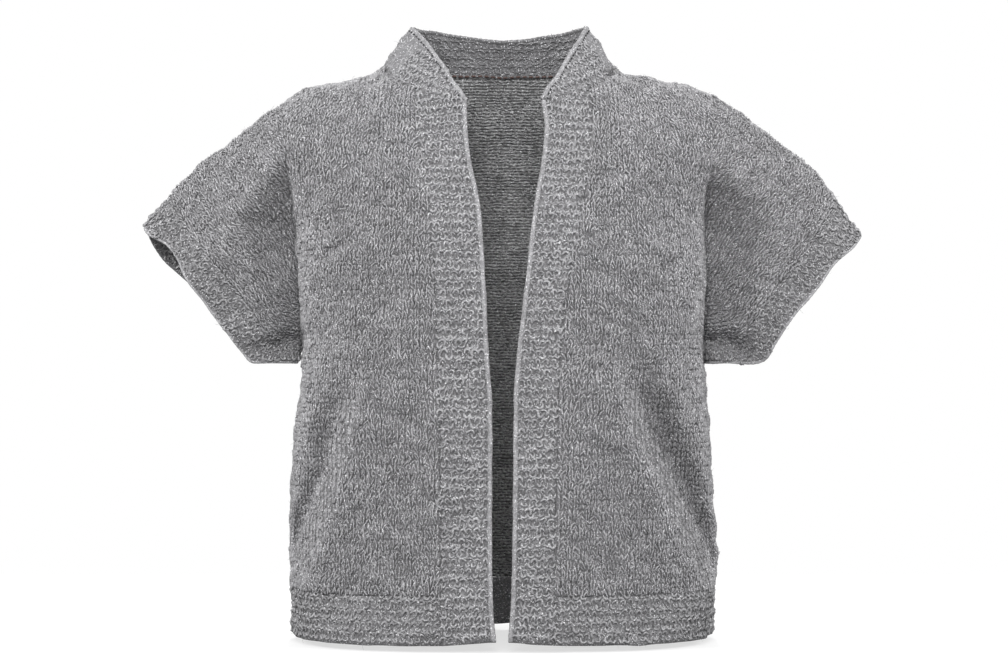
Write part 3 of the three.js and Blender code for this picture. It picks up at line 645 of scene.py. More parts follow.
def crease_lift(lift, width, path, out, z):
    distance, share = near_path([(o, UNDERARM_Z + h) for o, h in path], out, z)
    ends = smoothstep(share, 0, CREASE_FADE) * (1 - smoothstep(share, 1 - CREASE_FADE, 1))
    return lift * np.exp(-((distance / width) ** 2)) * lerp(CREASE_LEFT_AT_ENDS, 1, ends)


def wave_lift(points):
    """Soft unevenness of the cloth, the same on every run."""
    random = np.random.default_rng(WAVE_SEED)
    lift = np.zeros(len(points))
    for height, length in CLOTH_WAVES:
        for _ in range(WAVES_EACH):
            way = random.normal(size=3)
            way *= 2 * math.pi / (length * np.linalg.norm(way))
            phase = random.uniform(0, LAST_WAVE_PHASE)
            lift += height / math.sqrt(WAVES_EACH) * np.sin(points @ way + phase)
    return lift


def patch_lift(patch):
    out, z = np.abs(patch.points[..., 0]), patch.points[..., 2]
    lift = np.zeros(out.shape)
    for face, side, crest, dip, path in FOLDS:
        if (face, side) == (patch.face, patch.side):
            lift += fold_lift(crest, dip, path, out, z)
    for face, side, height, width, path in CREASES:
        if (face, side) == (patch.face, patch.side):
            lift += crease_lift(height, width, path, out, z)
    return lift


def quads_of(ids, flip):
    """Faces of a grid of point numbers, facing out of the garment."""
    corners = [ids[:-1, :-1], ids[:-1, 1:], ids[1:, 1:], ids[1:, :-1]]
    quads = np.stack([corner.ravel() for corner in corners], axis=-1)
    return quads[:, ::-1] if flip else quads


def unit(vectors):
    return vectors / np.maximum(np.linalg.norm(vectors, axis=-1, keepdims=True), 1e-9)


def point_normals(points, quads):
    a, b, c, d = (points[quads[:, k]] for k in range(4))
    faces = np.cross(c - a, d - b)
    normals = np.zeros(points.shape)
    for k in range(4):
        np.add.at(normals, quads[:, k], faces)
    return unit(normals)


def joined_surface(pieces):
    """Give each patch its joined, folded points and the directions out of the cloth there."""
    patches = [patch for group in pieces.values() for patch in group]
    flat = np.concatenate([patch.points.reshape(-1, 3) for patch in patches])
    keys = np.round(flat * KEYS_PER_MM).astype(np.int64)
    _, first, ids = np.unique(keys, axis=0, return_index=True, return_inverse=True)
    ids = ids.ravel()
    points = flat[first]
    start = 0
    for patch in patches:
        count = patch.points[..., 0].size
        patch.ids = ids[start : start + count].reshape(patch.points.shape[:2])
        start += count
    quads = np.concatenate([quads_of(patch.ids, patch.flip) for patch in patches])
    lifts = np.concatenate([patch_lift(patch).ravel() for patch in patches])
    mean_lift = np.bincount(ids, lifts) / np.bincount(ids)
    normals = point_normals(points, quads)
    facing = np.sign(normals[:, 1]) * smoothstep(np.abs(normals[:, 1]), *LIFT_FACING)
    waved = points + wave_lift(points)[:, None] * normals
    waved[:, 1] += mean_lift * facing
    points = waved
    normals = point_normals(points, quads)
    for patch in patches:
        patch.points = points[patch.ids]
        patch.outward = normals[patch.ids]
    return patches


# ---- Shells ----

SEAM_INSET = 0.15


def new_object(name, mesh):
    piece = bpy.data.objects.new(name, mesh)
    bpy.context.scene.collection.objects.link(piece)
    return piece


def set_attribute(mesh, name, kind, domain, values):
    attribute = mesh.attributes.new(name, kind, domain)
    slot = "value" if kind == "FLOAT" else "vector"
    attribute.data.foreach_set(slot, np.asarray(values, np.float32).ravel())


def rim_edges(quads):
    """Edges that one face has, as directed pairs."""
    edges = np.concatenate([quads[:, [k, (k + 1) % 4]] for k in range(4)])
    seen = {(a, b) for a, b in edges.tolist()}
    return np.array([edge for edge in seen if edge[::-1] not in seen])


def make_shell(name, patches, kind):
    """Thin closed cloth: the patches, the same moved in, and a rim round their free edges."""
    ids, first = np.unique(
        np.concatenate([patch.ids.ravel() for patch in patches]), return_index=True
    )
    outer = np.concatenate([patch.points.reshape(-1, 3) for patch in patches])[first]
    normals = np.concatenate([patch.outward.reshape(-1, 3) for patch in patches])[first]
    local = [np.searchsorted(ids, patch.ids) for patch in patches]
    quads = np.concatenate([quads_of(grid, patch.flip) for grid, patch in zip(local, patches)])
    rim = np.array(sorted(map(tuple, rim_edges(quads).tolist())))
    runs = unit(outer[rim[:, 1]] - outer[rim[:, 0]])
    into = np.zeros(outer.shape)
    for end in (0, 1):
        np.add.at(into, rim[:, end], np.cross(normals[rim[:, end]], runs))
    outer = outer + SEAM_INSET * unit(into) * (np.abs(into).sum(axis=1, keepdims=True) > 0)
    outer = outer - SHELLS[kind]["inset"] * normals
    inner = outer - SHELLS[kind]["wall"] * normals
    count = len(outer)
    rim_quads = np.stack([rim[:, 1], rim[:, 0], rim[:, 0] + count, rim[:, 1] + count], axis=-1)
    faces = np.concatenate([quads, quads[:, ::-1] + count, rim_quads])
    mesh = bpy.data.meshes.new(name)
    mesh.from_pydata(np.concatenate([outer, inner]) * MM, [], faces.tolist())
    knit = np.concatenate([corner_values(patch, patch.knit) for patch in patches])
    wale = np.concatenate([corner_values(patch, patch.upward()) for patch in patches])
    inside = knit[:, ::-1] + (0, INSIDE_APART)
    edge = np.full((len(rim_quads), 4, 2), INSIDE_APART)
    layer = mesh.uv_layers.new(name="knit")
    layer.uv.foreach_set("vector", np.concatenate([knit, inside, edge]).ravel())
    rim_wale = np.zeros((len(rim_quads), 4, 3)) + (0, 0, 1)
    wales = np.concatenate([wale, wale[:, ::-1], rim_wale])
    set_attribute(mesh, "wale", "FLOAT_VECTOR", "CORNER", wales)
    set_attribute(mesh, "outward", "FLOAT_VECTOR", "POINT", np.concatenate([normals, -normals]))
    materials = np.zeros(len(faces), np.int32)
    materials[len(quads) : 2 * len(quads)] = 1
    mesh.polygons.foreach_set("material_index", materials)
    mesh.shade_smooth()
    return new_object(name, mesh)


def corner_values(patch, values):
    """Values of a grid's points, at the four corners of each of its faces."""
    numbers = np.arange(patch.ids.size).reshape(patch.ids.shape)
    return values.reshape(-1, values.shape[-1])[quads_of(numbers, patch.flip)]


# ---- Node trees ----


class Nodes:
    """Adds nodes to a tree: a socket given as a value is linked, and anything else is set."""

    def __init__(self, tree):
        self.tree = tree

    def add(self, kind, inputs=None, **settings):
        node = self.tree.nodes.new(kind)
        for key, value in settings.items():
            setattr(node, key, value)
        for key, value in (inputs or {}).items():
            self.give(self.find(node.inputs, key), value)
        return node

    def find(self, sockets, key):
        if isinstance(key, int):
            return sockets[key]
        return next(s for s in sockets if s.name == key and s.enabled)

    def give(self, socket, value):
        if isinstance(value, bpy.types.NodeSocket):
            self.tree.links.new(value, socket)
        else:
            socket.default_value = value

    def out(self, kind, inputs=None, output=0, **settings):
        """The output socket of a new node."""
        node = self.add(kind, inputs, **settings)
        return self.find(node.outputs, output)

    def math(self, operation, *values):
        kind = "ShaderNodeMath"
        return self.out(kind, dict(enumerate(values)), operation=operation)

    def vector(self, operation, *values, output=0):
        kind = "ShaderNodeVectorMath"
        return self.out(kind, dict(enumerate(values)), output=output, operation=operation)

    def scaled(self, vector, scale):
        return self.out("ShaderNodeVectorMath", {0: vector, "Scale": scale}, operation="SCALE")

    def mix(self, factor, a, b, blend="MIX"):
        inputs = {"Factor": factor, "A": a, "B": b}
        return self.out("ShaderNodeMix", inputs, "Result", data_type="RGBA", blend_type=blend)

    def noise(self, vector, scale, detail=2.0, rough=0.5):
        inputs = {"Vector": vector, "Scale": scale, "Detail": detail, "Roughness": rough}
        return self.out("ShaderNodeTexNoise", inputs, "Fac")

    def grey(self, value):
        """The same value three times over."""
        return self.out("ShaderNodeCombineXYZ", {"X": value, "Y": value, "Z": value})

    def ramp(self, value, low, high, start=0.0, end=1.0):
        inputs = {"Value": value, "From Min": low, "From Max": high, "To Min": start, "To Max": end}
        return self.out("ShaderNodeMapRange", inputs, interpolation_type="SMOOTHSTEP")


def new_group(name, kind, inputs, outputs):
    """An empty node group with its interface, its helper and the two ends."""
    tree = bpy.data.node_groups.new(name, kind)
    for label, socket, value in inputs:
        item = tree.interface.new_socket(label, in_out="INPUT", socket_type=socket)
        if value is not None:
            item.default_value = value
    for label, socket in outputs:
        tree.interface.new_socket(label, in_out="OUTPUT", socket_type=socket)
    nodes = Nodes(tree)
    start = nodes.add("NodeGroupInput")
    end = nodes.add("NodeGroupOutput")
    return tree, nodes, start.outputs, end.inputs


# ---- Stitches ----


def stitch_tree():
    """Puts a stitch on a shell wherever a point's place in the knitting lies on it."""
    tree, nodes, given, made = new_group(
        "Knit stitches", "GeometryNodeTree",
        [
            ("Geometry", "NodeSocketGeometry", None), ("Shell", "NodeSocketObject", None),
            ("Stitch", "NodeSocketObject", None), ("Yarn", "NodeSocketMaterial", None),
        ],
        [("Geometry", "NodeSocketGeometry")],
    )

    def attribute(name, data_type):
        kind = "GeometryNodeInputNamedAttribute"
        return nodes.out(kind, {"Name": name}, "Attribute", data_type=data_type)

    shell = nodes.out("GeometryNodeObjectInfo", {"Object": given["Shell"]}, "Geometry")
    place_at = attribute("place", "FLOAT_VECTOR")

    def sampled(value, output="Value", at=place_at):
        inputs = {
            "Mesh": shell, "Value": value, "Sample UV": at,
            "UV Map": attribute("knit", "FLOAT_VECTOR"),
        }
        kind = "GeometryNodeSampleUVSurface"
        return nodes.out(kind, inputs, output, data_type="FLOAT_VECTOR")

    position = nodes.out("GeometryNodeInputPosition")
    outward = sampled(attribute("outward", "FLOAT_VECTOR"))
    raised = nodes.scaled(outward, attribute("lift", "FLOAT"))
    placed = nodes.out("GeometryNodeSetPosition", {
        "Geometry": given["Geometry"],
        "Position": nodes.vector("ADD", sampled(position), raised),
    })
    # The directions are kept on the points before the missed ones go.
    stored = placed
    for name, value in (("out_of_cloth", outward), ("up_the_knitting",
                        sampled(attribute("wale", "FLOAT_VECTOR")))):
        stored = nodes.out("GeometryNodeStoreNamedAttribute", {
            "Geometry": stored, "Name": name, "Value": value,
        }, data_type="FLOAT_VECTOR", domain="POINT")
    # A stitch that would reach past the cloth's free edge is left out: reach holds how far up
    # (X) and down (Y) the knitting the cloth has to go on.
    split = nodes.add("ShaderNodeSeparateXYZ", {"Vector": attribute("reach", "FLOAT_VECTOR")})
    fits = []
    for way, key in (("ADD", "X"), ("SUBTRACT", "Y")):
        step = nodes.out("ShaderNodeCombineXYZ", {"Y": split.outputs[key]})
        fits.append(sampled(position, "Is Valid", nodes.vector(way, place_at, step)))
    missed = nodes.out("FunctionNodeBooleanMath", dict(enumerate(fits)), operation="NAND")
    kept = nodes.out("GeometryNodeDeleteGeometry", {"Geometry": stored, "Selection": missed},
                     domain="POINT")
    turn = nodes.out("FunctionNodeAxesToRotation", {
        "Primary Axis": attribute("out_of_cloth", "FLOAT_VECTOR"),
        "Secondary Axis": attribute("up_the_knitting", "FLOAT_VECTOR"),
    }, primary_axis="Z", secondary_axis="Y")
    spin = nodes.out("FunctionNodeEulerToRotation", {
        "Euler": nodes.out("ShaderNodeCombineXYZ", {"Z": attribute("spin", "FLOAT")}),
    })
    turned = nodes.out("FunctionNodeRotateRotation", {"Rotation": turn, "Rotate By": spin},
                       rotation_space="LOCAL")
    stitch = nodes.out("GeometryNodeObjectInfo", {"Object": given["Stitch"]}, "Geometry")
    stitches = nodes.out("GeometryNodeInstanceOnPoints", {
        "Points": kept, "Instance": stitch, "Rotation": turned,
        "Scale": attribute("size", "FLOAT_VECTOR"),
    })
    real = nodes.out("GeometryNodeRealizeInstances", {"Geometry": stitches})
    yarn = nodes.out("GeometryNodeSetMaterial", {"Geometry": real, "Material": given["Yarn"]})
    nodes.give(made["Geometry"], yarn)
    return tree


def set_inputs(modifier, **values):
    """Set a modifier's inputs by the names on its tree's interface."""
    for item in modifier.node_group.interface.items_tree:
        key = item.name.replace(" ", "_")
        if item.item_type == "SOCKET" and item.in_out == "INPUT" and key in values:
            modifier[item.identifier] = values[key]


def made_real(piece, tree, **inputs):
    """Run a tree on a piece and keep its result as the piece's own plain mesh."""
    modifier = piece.modifiers.new(tree.name, "NODES")
    modifier.node_group = tree
    set_inputs(modifier, **inputs)
    graph = bpy.context.evaluated_depsgraph_get()
    graph.update()
    mesh = bpy.data.meshes.new_from_object(piece.evaluated_get(graph), depsgraph=graph)
    piece.modifiers.clear()
    old = piece.data
    piece.data = mesh
    bpy.data.meshes.remove(old)
    mesh.name = piece.name
    return piece


def tube(points, radii, sides, upward=(0, 0, 1)):
    """A closed strand of yarn through points in millimetres: its vertices, faces and crown.

    It is pointed at both ends, and its radii may be one number.  The crown is 1 on top of the
    strand and 0 underneath, where its neighbours shade it, and upward is the direction of its top.
    The yarn's material turns the crown into painted shade under each strand.
    """
    radii = np.broadcast_to(radii, len(points))
    ahead = unit(np.gradient(points, axis=0))
    across = unit(np.cross(ahead, upward))
    above = np.cross(across, ahead)
    angles = math.pi / 2 + 2 * math.pi * np.arange(sides) / sides
    ring = np.cos(angles)[None, :, None] * across[:, None] + (
        np.sin(angles)[None, :, None] * above[:, None])
    rings = (points[:, None] + radii[:, None, None] * ring)[1:-1].reshape(-1, 3)
    last, count = len(points) - 3, len(rings)
    faces = []
    for k in range(sides):
        j = (k + 1) % sides
        faces.append((k, j, count))
        faces.append((last * sides + j, last * sides + k, count + 1))
        for i in range(last):
            start, end = i * sides, (i + 1) * sides
            faces.append((start + k, end + k, end + j, start + j))
    # The crown, which the yarn's material turns into painted shade: 1 on top, 0 underneath.
    crown = np.tile(0.5 + 0.5 * np.sin(angles), last + 1)
    return np.concatenate([rings, points[[0, -1]]]), faces, np.concatenate([crown, (0.3, 0.3)])


def joined_mesh(name, parts):
    """One mesh from several strands."""
    vertices, faces, crowns, start = [], [], [], 0
    for part_vertices, part_faces, crown in parts:
        vertices.append(part_vertices)
        crowns.append(crown)
        faces.extend(tuple(corner + start for corner in face) for face in part_faces)
        start += len(part_vertices)
    mesh = bpy.data.meshes.new(name)
    mesh.from_pydata(np.concatenate(vertices) * MM, [], faces)
    set_attribute(mesh, "crown", "FLOAT", "POINT", np.concatenate(crowns))
    mesh.shade_smooth()
    return mesh


# The knitting's gauge in millimetres, and how much its stitches differ from each other.  In a
# border every other row turns over: it is spun by half a turn and lies lower.
GAUGE_COLUMNS = "across up sway spin vary lift other_lift turns_over offset".split()
GAUGES = {
    "plain": (5.7, 4.8, 0.1, 0.26, 0.18, 0.1, 0.1, False, 0),
    "smooth": (5.7, 4.8, 0.14, 0.5, 0.25, -1.0, -1.0, False, 0),
    "moss": (7.4, 5.2, 0.11, 0.38, 0.2, 0.5, 0.1, True, 0.5),
    "collar_moss": (9.0, 4.4, 0.1, 0.16, 0.15, 0.2, 0.0, True, 0.5),
    "garter": (7.2, 4.75, 0.12, 0.42, 0.22, 0.7, 0.1, True, 0.5),
    "purl": (5.8, 3.0, 0.16, 0.2, 0.3, 0.2, 0.1, False, 0.5),
}
SIZE_LIMITS = (0.6, 1.4)
LIFT_VARY = 0.2
# Where a spindle of yarn has its points along its length.
SPINDLE = np.array([0, 0.27, 0.73, 1])
# How far round a loop goes, in half turns, and how thick its ends are beside its middle.
LOOP_TURN = (-0.12, 1.12)
LOOP_END = 0.65
LEG = {"length": 8.2, "lean": 1.5, "radius": 1.25, "rise": 0.5, "sides": 3}
LOOP = {"width": 4.8, "height": 3.9, "radius": 1.3, "rise": 0.7, "sides": 4, "steps": 7}
WIDE_LOOP = {"width": 7.6, "height": 2.7, "radius": 1.0, "rise": 0.7, "sides": 4, "steps": 6}
DASH = {"length": 4.6, "radius": 1.05, "rise": 0.4, "sides": 3}
STITCH_SEED = 5
# How much the stitches of the inner faces are darkened: painted shade for the inside of the garment.
INSIDE_PAINTED_SHADE = 1.6


def leg(sign):
    x = sign * LEG["lean"] * (0.25 + 1.5 * SPINDLE)
    y = LEG["length"] * (SPINDLE - 0.5)
    z = LEG["rise"] * np.sin(math.pi * SPINDLE)
    return tube(np.stack([x, y, z], axis=-1), LEG["radius"], LEG["sides"])


def plain_stitch():
    """A V of two leaning spindles of yarn, its point at the bottom."""
    return joined_mesh("plain_stitch", [leg(-1), leg(1)])


def loop_stitch(name, loop):
    """One loop of a border's knitting: a bowed strand of yarn, open at the bottom."""
    angle = math.pi * np.linspace(*LOOP_TURN, loop["steps"])
    bow = np.sin(angle)
    x = -loop["width"] / 2 * np.cos(angle)
    y = loop["height"] * (bow - 0.5)
    z = loop["rise"] * np.clip(bow, 0, 1)
    radii = loop["radius"] * lerp(LOOP_END, 1, np.clip(bow, 0, 1))
    return joined_mesh(name, [tube(np.stack([x, y, z], axis=-1), radii, loop["sides"])])


def purl_stitch():
    """One short bump that lies across the rows, on the wrong side of the plain knitting."""
    x = DASH["length"] * (SPINDLE - 0.5)
    z = DASH["rise"] * np.sin(math.pi * SPINDLE)
    points = np.stack([x, 0 * x, z], axis=-1)
    return joined_mesh("purl_stitch", [tube(points, DASH["radius"], DASH["sides"])])


def lattice(name, low, high, gauge, random, apart=0.0, within=None, reach=(0, 0)):
    """Points for stitches over a stretch of the knitting, with small differences between them.

    within tells from a point's place which ones are kept, and reach is how far up the knitting, on
    either side of its point, the cloth has to go on for a stitch to fit.
    """
    cell = dict(zip(GAUGE_COLUMNS, GAUGES[gauge]))
    first = np.floor(np.divide(low, (cell["across"], cell["up"])))
    last = np.ceil(np.divide(high, (cell["across"], cell["up"])))
    column, row = (grid.ravel() for grid in np.meshgrid(
        np.arange(first[0], last[0] + 1), np.arange(first[1], last[1] + 1)))
    other = (row % 2) * cell["turns_over"]
    count = len(column)
    shift = cell["offset"] * (row % 2)
    across = (column + shift + random.normal(0, cell["sway"], count)) * cell["across"]
    up = (row + random.normal(0, cell["sway"], count)) * cell["up"]
    values = {
        "place": np.stack([across * MM, up * MM + apart, np.zeros(count)], axis=-1),
        "size": np.clip(random.normal(1, cell["vary"], (count, 3)), *SIZE_LIMITS),
        "reach": np.outer(np.ones(count), (*reach, 0)) * MM,
        "spin": random.normal(0, cell["spin"], count) + math.pi * other,
        "lift": (lerp(cell["lift"], cell["other_lift"], other)
                 + random.normal(0, LIFT_VARY, count)) * MM,
        # Each stitch's random tone, less painted shade on the stitches of the inner faces.
        "tone": random.normal(0, 1, count) - (apart != 0) * INSIDE_PAINTED_SHADE,
    }
    kept = np.ones(count, bool) if within is None else within(across, up)
    mesh = bpy.data.meshes.new(name)
    mesh.from_pydata(np.zeros((np.count_nonzero(kept), 3)), [], [])
    for label, value in values.items():
        kind = "FLOAT" if value.ndim == 1 else "FLOAT_VECTOR"
        set_attribute(mesh, label, kind, "POINT", value[kept])
    return new_object(name, mesh)


def knit_bounds(patches, side=None):
    chosen = [patch.knit.reshape(-1, 2) / MM for patch in patches if side in (None, patch.side)]
    return [(part.min(axis=0), part.max(axis=0)) for part in chosen]


# ---- Materials ----

# Each yarn: its name, its colour, and what sets it off from a strand of the usual contrast.
YARNS = {
    "plain": ("plain knit yarn", (0.262, 0.259, 0.268), {"contrast": 0.75}),
    "border": ("border yarn", (0.276, 0.274, 0.283), {"contrast": 0.5}),
    "dull_border": ("hem and cuff yarn", (0.248, 0.246, 0.253), {"contrast": 0.6}),
    # The rolled edge's yarn is darker than the border yarn: painted shade, so the round edge reads no
    # brighter than the border.
    "roll": ("rolled edge yarn", (0.215, 0.213, 0.220), {"contrast": 0.8}),
    # The collar's smooth yarn is darker than the border yarn: painted shade on the collar's top,
    # which faces the lamps above.
    "smooth": ("smooth collar yarn", (0.225, 0.223, 0.231), {"contrast": 0.45}),
    # The purl yarn is paler than the outside yarn: painted light on the inside of the garment and the
    # cuffs.
    "inside": ("purl yarn", (0.36, 0.358, 0.362), {}),
    # The yarn inside the collar is darker than the border yarn: painted shade inside the collar.
    "collar_inside": ("yarn inside the collar", (0.195, 0.193, 0.199), {"contrast": 0.6}),
    "hair": ("loose fibres", (0.24, 0.24, 0.25), {"strength": 0.0}),
    # The shells show between the stitches: darker copies of the yarn, as painted shade in the gaps.
    "gap_shade": ("yarn under the stitches", (0.185, 0.183, 0.190),
               {"strength": 1.0, "is_strand": False}),
    "border_ground": ("yarn under the borders", (0.200, 0.198, 0.205),
                      {"strength": 1.0, "is_strand": False}),
    "collar_ground": ("brushed yarn of the collar", (0.205, 0.203, 0.210),
                      {"strength": 0.8, "is_strand": False, "contrast": 0.6}),
}
# The rest: name, colour and roughness.
PLAIN_FINISHES = {
    # Near-black strands stand for the collar's stitch holes: painted shade.
    "hole": ("stitch hole", (0.03, 0.03, 0.032), 0.9),
    "thread": ("neck seam thread", (0.1, 0.06, 0.052), 0.7),
}
# Layers of the yarn's shades: scale, detail and roughness of the noise, darkest and lightest.
HEATHER = {
    "patches": (28.0, 2.0, 0.5, 0.93, 1.07),
    "plies": (330.0, 3.0, 0.6, 0.7, 1.33),
    "fibres": (1500.0, 2.0, 0.7, 0.8, 1.22),
}
NOISE_RANGE = (0.3, 0.7)
FLECK_COLOUR = (0.8, 0.8, 0.82, 1)
FLOOR_LOOK = {"paper": 0.33, "glow": 0.66, "bounce": 0.25}


def heather_group():
    """Shades of one yarn: broad patches, ply, single fibres, and bright metallic flecks, with
    painted shade that darkens the underside of each strand and lightens its top.
    """
    tree, nodes, given, made = new_group(
        "Heather yarn", "ShaderNodeTree",
        [("Color", "NodeSocketColor", None), ("Tone", "NodeSocketFloat", 0.0),
         ("Crown", "NodeSocketFloat", 0.6), ("Contrast", "NodeSocketFloat", 1.0),
         ("Vector", "NodeSocketVector", None)],
        [("Color", "NodeSocketColor"), ("Fleck", "NodeSocketFloat")],
    )

    def layer(name):
        *look, dark, light = HEATHER[name]
        return nodes.ramp(nodes.noise(given["Vector"], *look), *NOISE_RANGE, dark, light)

    # A stitch's random tone, together with the painted shade of the inner faces' stitches.
    stitch = nodes.math("MULTIPLY_ADD", given["Tone"], 0.14, 1.0)
    # Painted shade from the crown: a strand's underside darkened to 0.35 and its top lightened to
    # 1.3.
    crown = nodes.ramp(given["Crown"], 0.1, 1.0, 0.35, 1.3)
    shade = nodes.math("MULTIPLY", nodes.math("MULTIPLY", layer("patches"), layer("plies")),
                       nodes.math("MULTIPLY", layer("fibres"), stitch))
    shade = nodes.math("MULTIPLY", shade, crown)
    shade = nodes.math("MULTIPLY_ADD", nodes.math("SUBTRACT", shade, 1.0), given["Contrast"], 1.0)
    dyed = nodes.vector("MULTIPLY", given["Color"], nodes.grey(shade))
    fleck = nodes.ramp(nodes.noise(given["Vector"], 800.0, 1.0), 0.63, 0.68)
    bright = nodes.mix(fleck, dyed, FLECK_COLOUR)
    nodes.give(made["Color"], bright)
    nodes.give(made["Fleck"], fleck)
    return tree


def fibre_group():
    """Fine fibres and ply of the yarn, as a bump."""
    tree, nodes, given, made = new_group(
        "Yarn fibres", "ShaderNodeTree",
        [("Vector", "NodeSocketVector", None), ("Strength", "NodeSocketFloat", 0.6)],
        [("Normal", "NodeSocketVector")],
    )
    fine = nodes.noise(given["Vector"], 1500.0, 3.0, 0.65)
    coarse = nodes.noise(given["Vector"], 430.0)
    height = nodes.math("MULTIPLY_ADD", coarse, 1.6, fine)
    bump = nodes.out("ShaderNodeBump", {
        "Strength": given["Strength"], "Distance": 0.0008, "Height": height}, "Normal")
    nodes.give(made["Normal"], bump)
    return tree


def purl_group():
    """Rows of purl bumps on the wrong side of the plain knitting, from its own coordinates."""
    tree, nodes, given, made = new_group(
        "Purl rows", "ShaderNodeTree",
        [("Knit", "NodeSocketVector", None), ("Row", "NodeSocketFloat", 0.0032),
         ("Stitch", "NodeSocketFloat", 0.0057)],
        [("Shade", "NodeSocketFloat"), ("Height", "NodeSocketFloat")],
    )
    split = nodes.add("ShaderNodeSeparateXYZ", {"Vector": given["Knit"]})
    wobble = nodes.noise(given["Knit"], 90.0)
    rows = nodes.math("DIVIDE", split.outputs["Y"], given["Row"])
    rows = nodes.math("MULTIPLY_ADD", wobble, 1.2, rows)
    stitches = nodes.math("DIVIDE", split.outputs["X"], given["Stitch"])
    half = nodes.math("MULTIPLY", nodes.math("FLOOR", rows), 0.5)
    row_wave = nodes.math("SINE", nodes.math("MULTIPLY", rows, 2 * math.pi))
    stitch_wave = nodes.math("SINE", nodes.math(
        "MULTIPLY", nodes.math("ADD", stitches, half), 2 * math.pi))
    height = nodes.math("MULTIPLY_ADD", stitch_wave, 0.3, row_wave)
    nodes.give(made["Height"], height)
    nodes.give(made["Shade"], nodes.ramp(height, -0.9, 0.7, 0.42, 1.2))
    return tree


def new_material(name):
    material = bpy.data.materials.new(name)
    material.use_nodes = True
    material.node_tree.nodes.clear()
    return material, Nodes(material.node_tree)


def finish_material(nodes, **inputs):
    """A Principled shader with the given inputs, wired to the material's output."""
    keys = {key.replace("_", " "): value for key, value in inputs.items()}
    shader = nodes.add("ShaderNodeBsdfPrincipled", keys)
    nodes.add("ShaderNodeOutputMaterial", {"Surface": shader.outputs["BSDF"]})


def group_node(nodes, tree, inputs):
    node = nodes.tree.nodes.new("ShaderNodeGroup")
    node.node_tree = tree
    for key, value in inputs.items():
        nodes.give(node.inputs[key], value)
    return node


def yarn_material(groups, name, colour, strength=0.6, is_strand=True, contrast=1.0):
    material, nodes = new_material(name)
    at = nodes.out("ShaderNodeTexCoord", output="Object")
    given = {"Color": (*colour, 1), "Contrast": contrast, "Vector": at}
    if is_strand:
        # Per stitch: random tone with the inner faces' painted shade, and the crown for the strands'
        # painted shade.
        for key in ("tone", "crown"):
            given[key.title()] = nodes.out(
                "ShaderNodeAttribute", output="Fac", attribute_name=key)
    heather = group_node(nodes, groups["heather"], given)
    fibres = group_node(nodes, groups["fibres"], {"Vector": at, "Strength": strength})
    finish_material(
        nodes, Base_Color=heather.outputs["Color"], Normal=fibres.outputs["Normal"],
        Roughness=0.66, Specular_IOR_Level=0.3, Sheen_Weight=0.12, Sheen_Roughness=0.5,
    )
    return material


def purl_material(groups):
    material, nodes = new_material("wrong side of the knitting")
    at = nodes.out("ShaderNodeTexCoord", output="Object")
    knit = nodes.out("ShaderNodeUVMap", output="UV", uv_map="knit")
    purl = group_node(nodes, groups["purl"], {"Knit": knit})
    # The purl yarn's paler colour, painted light on the wrong side.
    _, inside, _ = YARNS["inside"]
    shade = nodes.vector("MULTIPLY", inside, nodes.grey(purl.outputs["Shade"]))
    heather = group_node(nodes, groups["heather"], {"Color": shade, "Vector": at})
    bump = nodes.out("ShaderNodeBump", {
        "Strength": 0.9, "Distance": 0.001, "Height": purl.outputs["Height"]}, "Normal")
    finish_material(nodes, Base_Color=heather.outputs["Color"], Normal=bump, Roughness=0.8,
                    Specular_IOR_Level=0.2, Sheen_Weight=0.1)
    return material


def plain_material(name, colour, roughness):
    material, nodes = new_material(name)
    grain = nodes.noise(nodes.out("ShaderNodeTexCoord", output="Object"), 900.0)
    spots = nodes.ramp(grain, *NOISE_RANGE, 0, 0.25)
    tint = nodes.mix(spots, (*colour, 1), (0.9, 0.9, 0.9, 1), "MULTIPLY")
    finish_material(nodes, Base_Color=tint, Roughness=roughness)
    return material


def floor_material():
    """A white floor whose shadows look as soft and pale as on a lit paper sweep."""
    material, nodes = new_material("floor")
    seen = nodes.out("ShaderNodeLightPath", output="Is Camera Ray")
    paper = nodes.noise(nodes.out("ShaderNodeTexCoord", output="Object"), 30.0)
    shade = nodes.out("ShaderNodeMapRange", {
        "Value": seen, "To Min": FLOOR_LOOK["bounce"], "To Max": FLOOR_LOOK["paper"]})
    tint = nodes.math("ADD", nodes.ramp(paper, *NOISE_RANGE, -0.01, 0.01), shade)
    glow = nodes.math("MULTIPLY", seen, FLOOR_LOOK["glow"])
    finish_material(
        nodes, Base_Color=nodes.grey(tint),
        Emission_Color=(1, 1, 1, 1), Emission_Strength=glow, Roughness=0.9)
    return material


def make_materials():
    groups = {"heather": heather_group(), "fibres": fibre_group(), "purl": purl_group()}
    made = {
        key: yarn_material(groups, name, colour, **look)
        for key, (name, colour, look) in YARNS.items()
    }
    made.update({key: plain_material(*finish) for key, finish in PLAIN_FINISHES.items()})
    made["purl"] = purl_material(groups)
    return made


# ---- Pieces ----

# Each node: its knitting, the flat size of its cloth (width, length) and the area of its cut, in
# metres and square metres.
CUTS = {
    "back": ("plain", (0.78, 0.55), 0.300),
    "front_left": ("plain", (0.38, 0.53), 0.132),
    "front_right": ("plain", (0.38, 0.53), 0.127),
    "band_left": ("border", (0.051, 0.56), 0.024),
    "band_right": ("border", (0.053, 0.56), 0.027),
    "collar": ("border", (0.40, 0.062), 0.020),
    "hem_left": ("border", (0.235, 0.048), 0.011),
    "hem_right": ("border", (0.225, 0.048), 0.0105),
    "hem_back": ("border", (0.50, 0.048), 0.024),
    "cuff_left": ("border", (0.50, 0.035), 0.017),
    "cuff_right": ("border", (0.50, 0.036), 0.0175),
}
# The shells' outer and inner materials; the darker outer ones are painted shade between the stitches.
GROUNDS = {"plain": ("gap_shade", "purl"), "border": ("border_ground", "border_ground")}
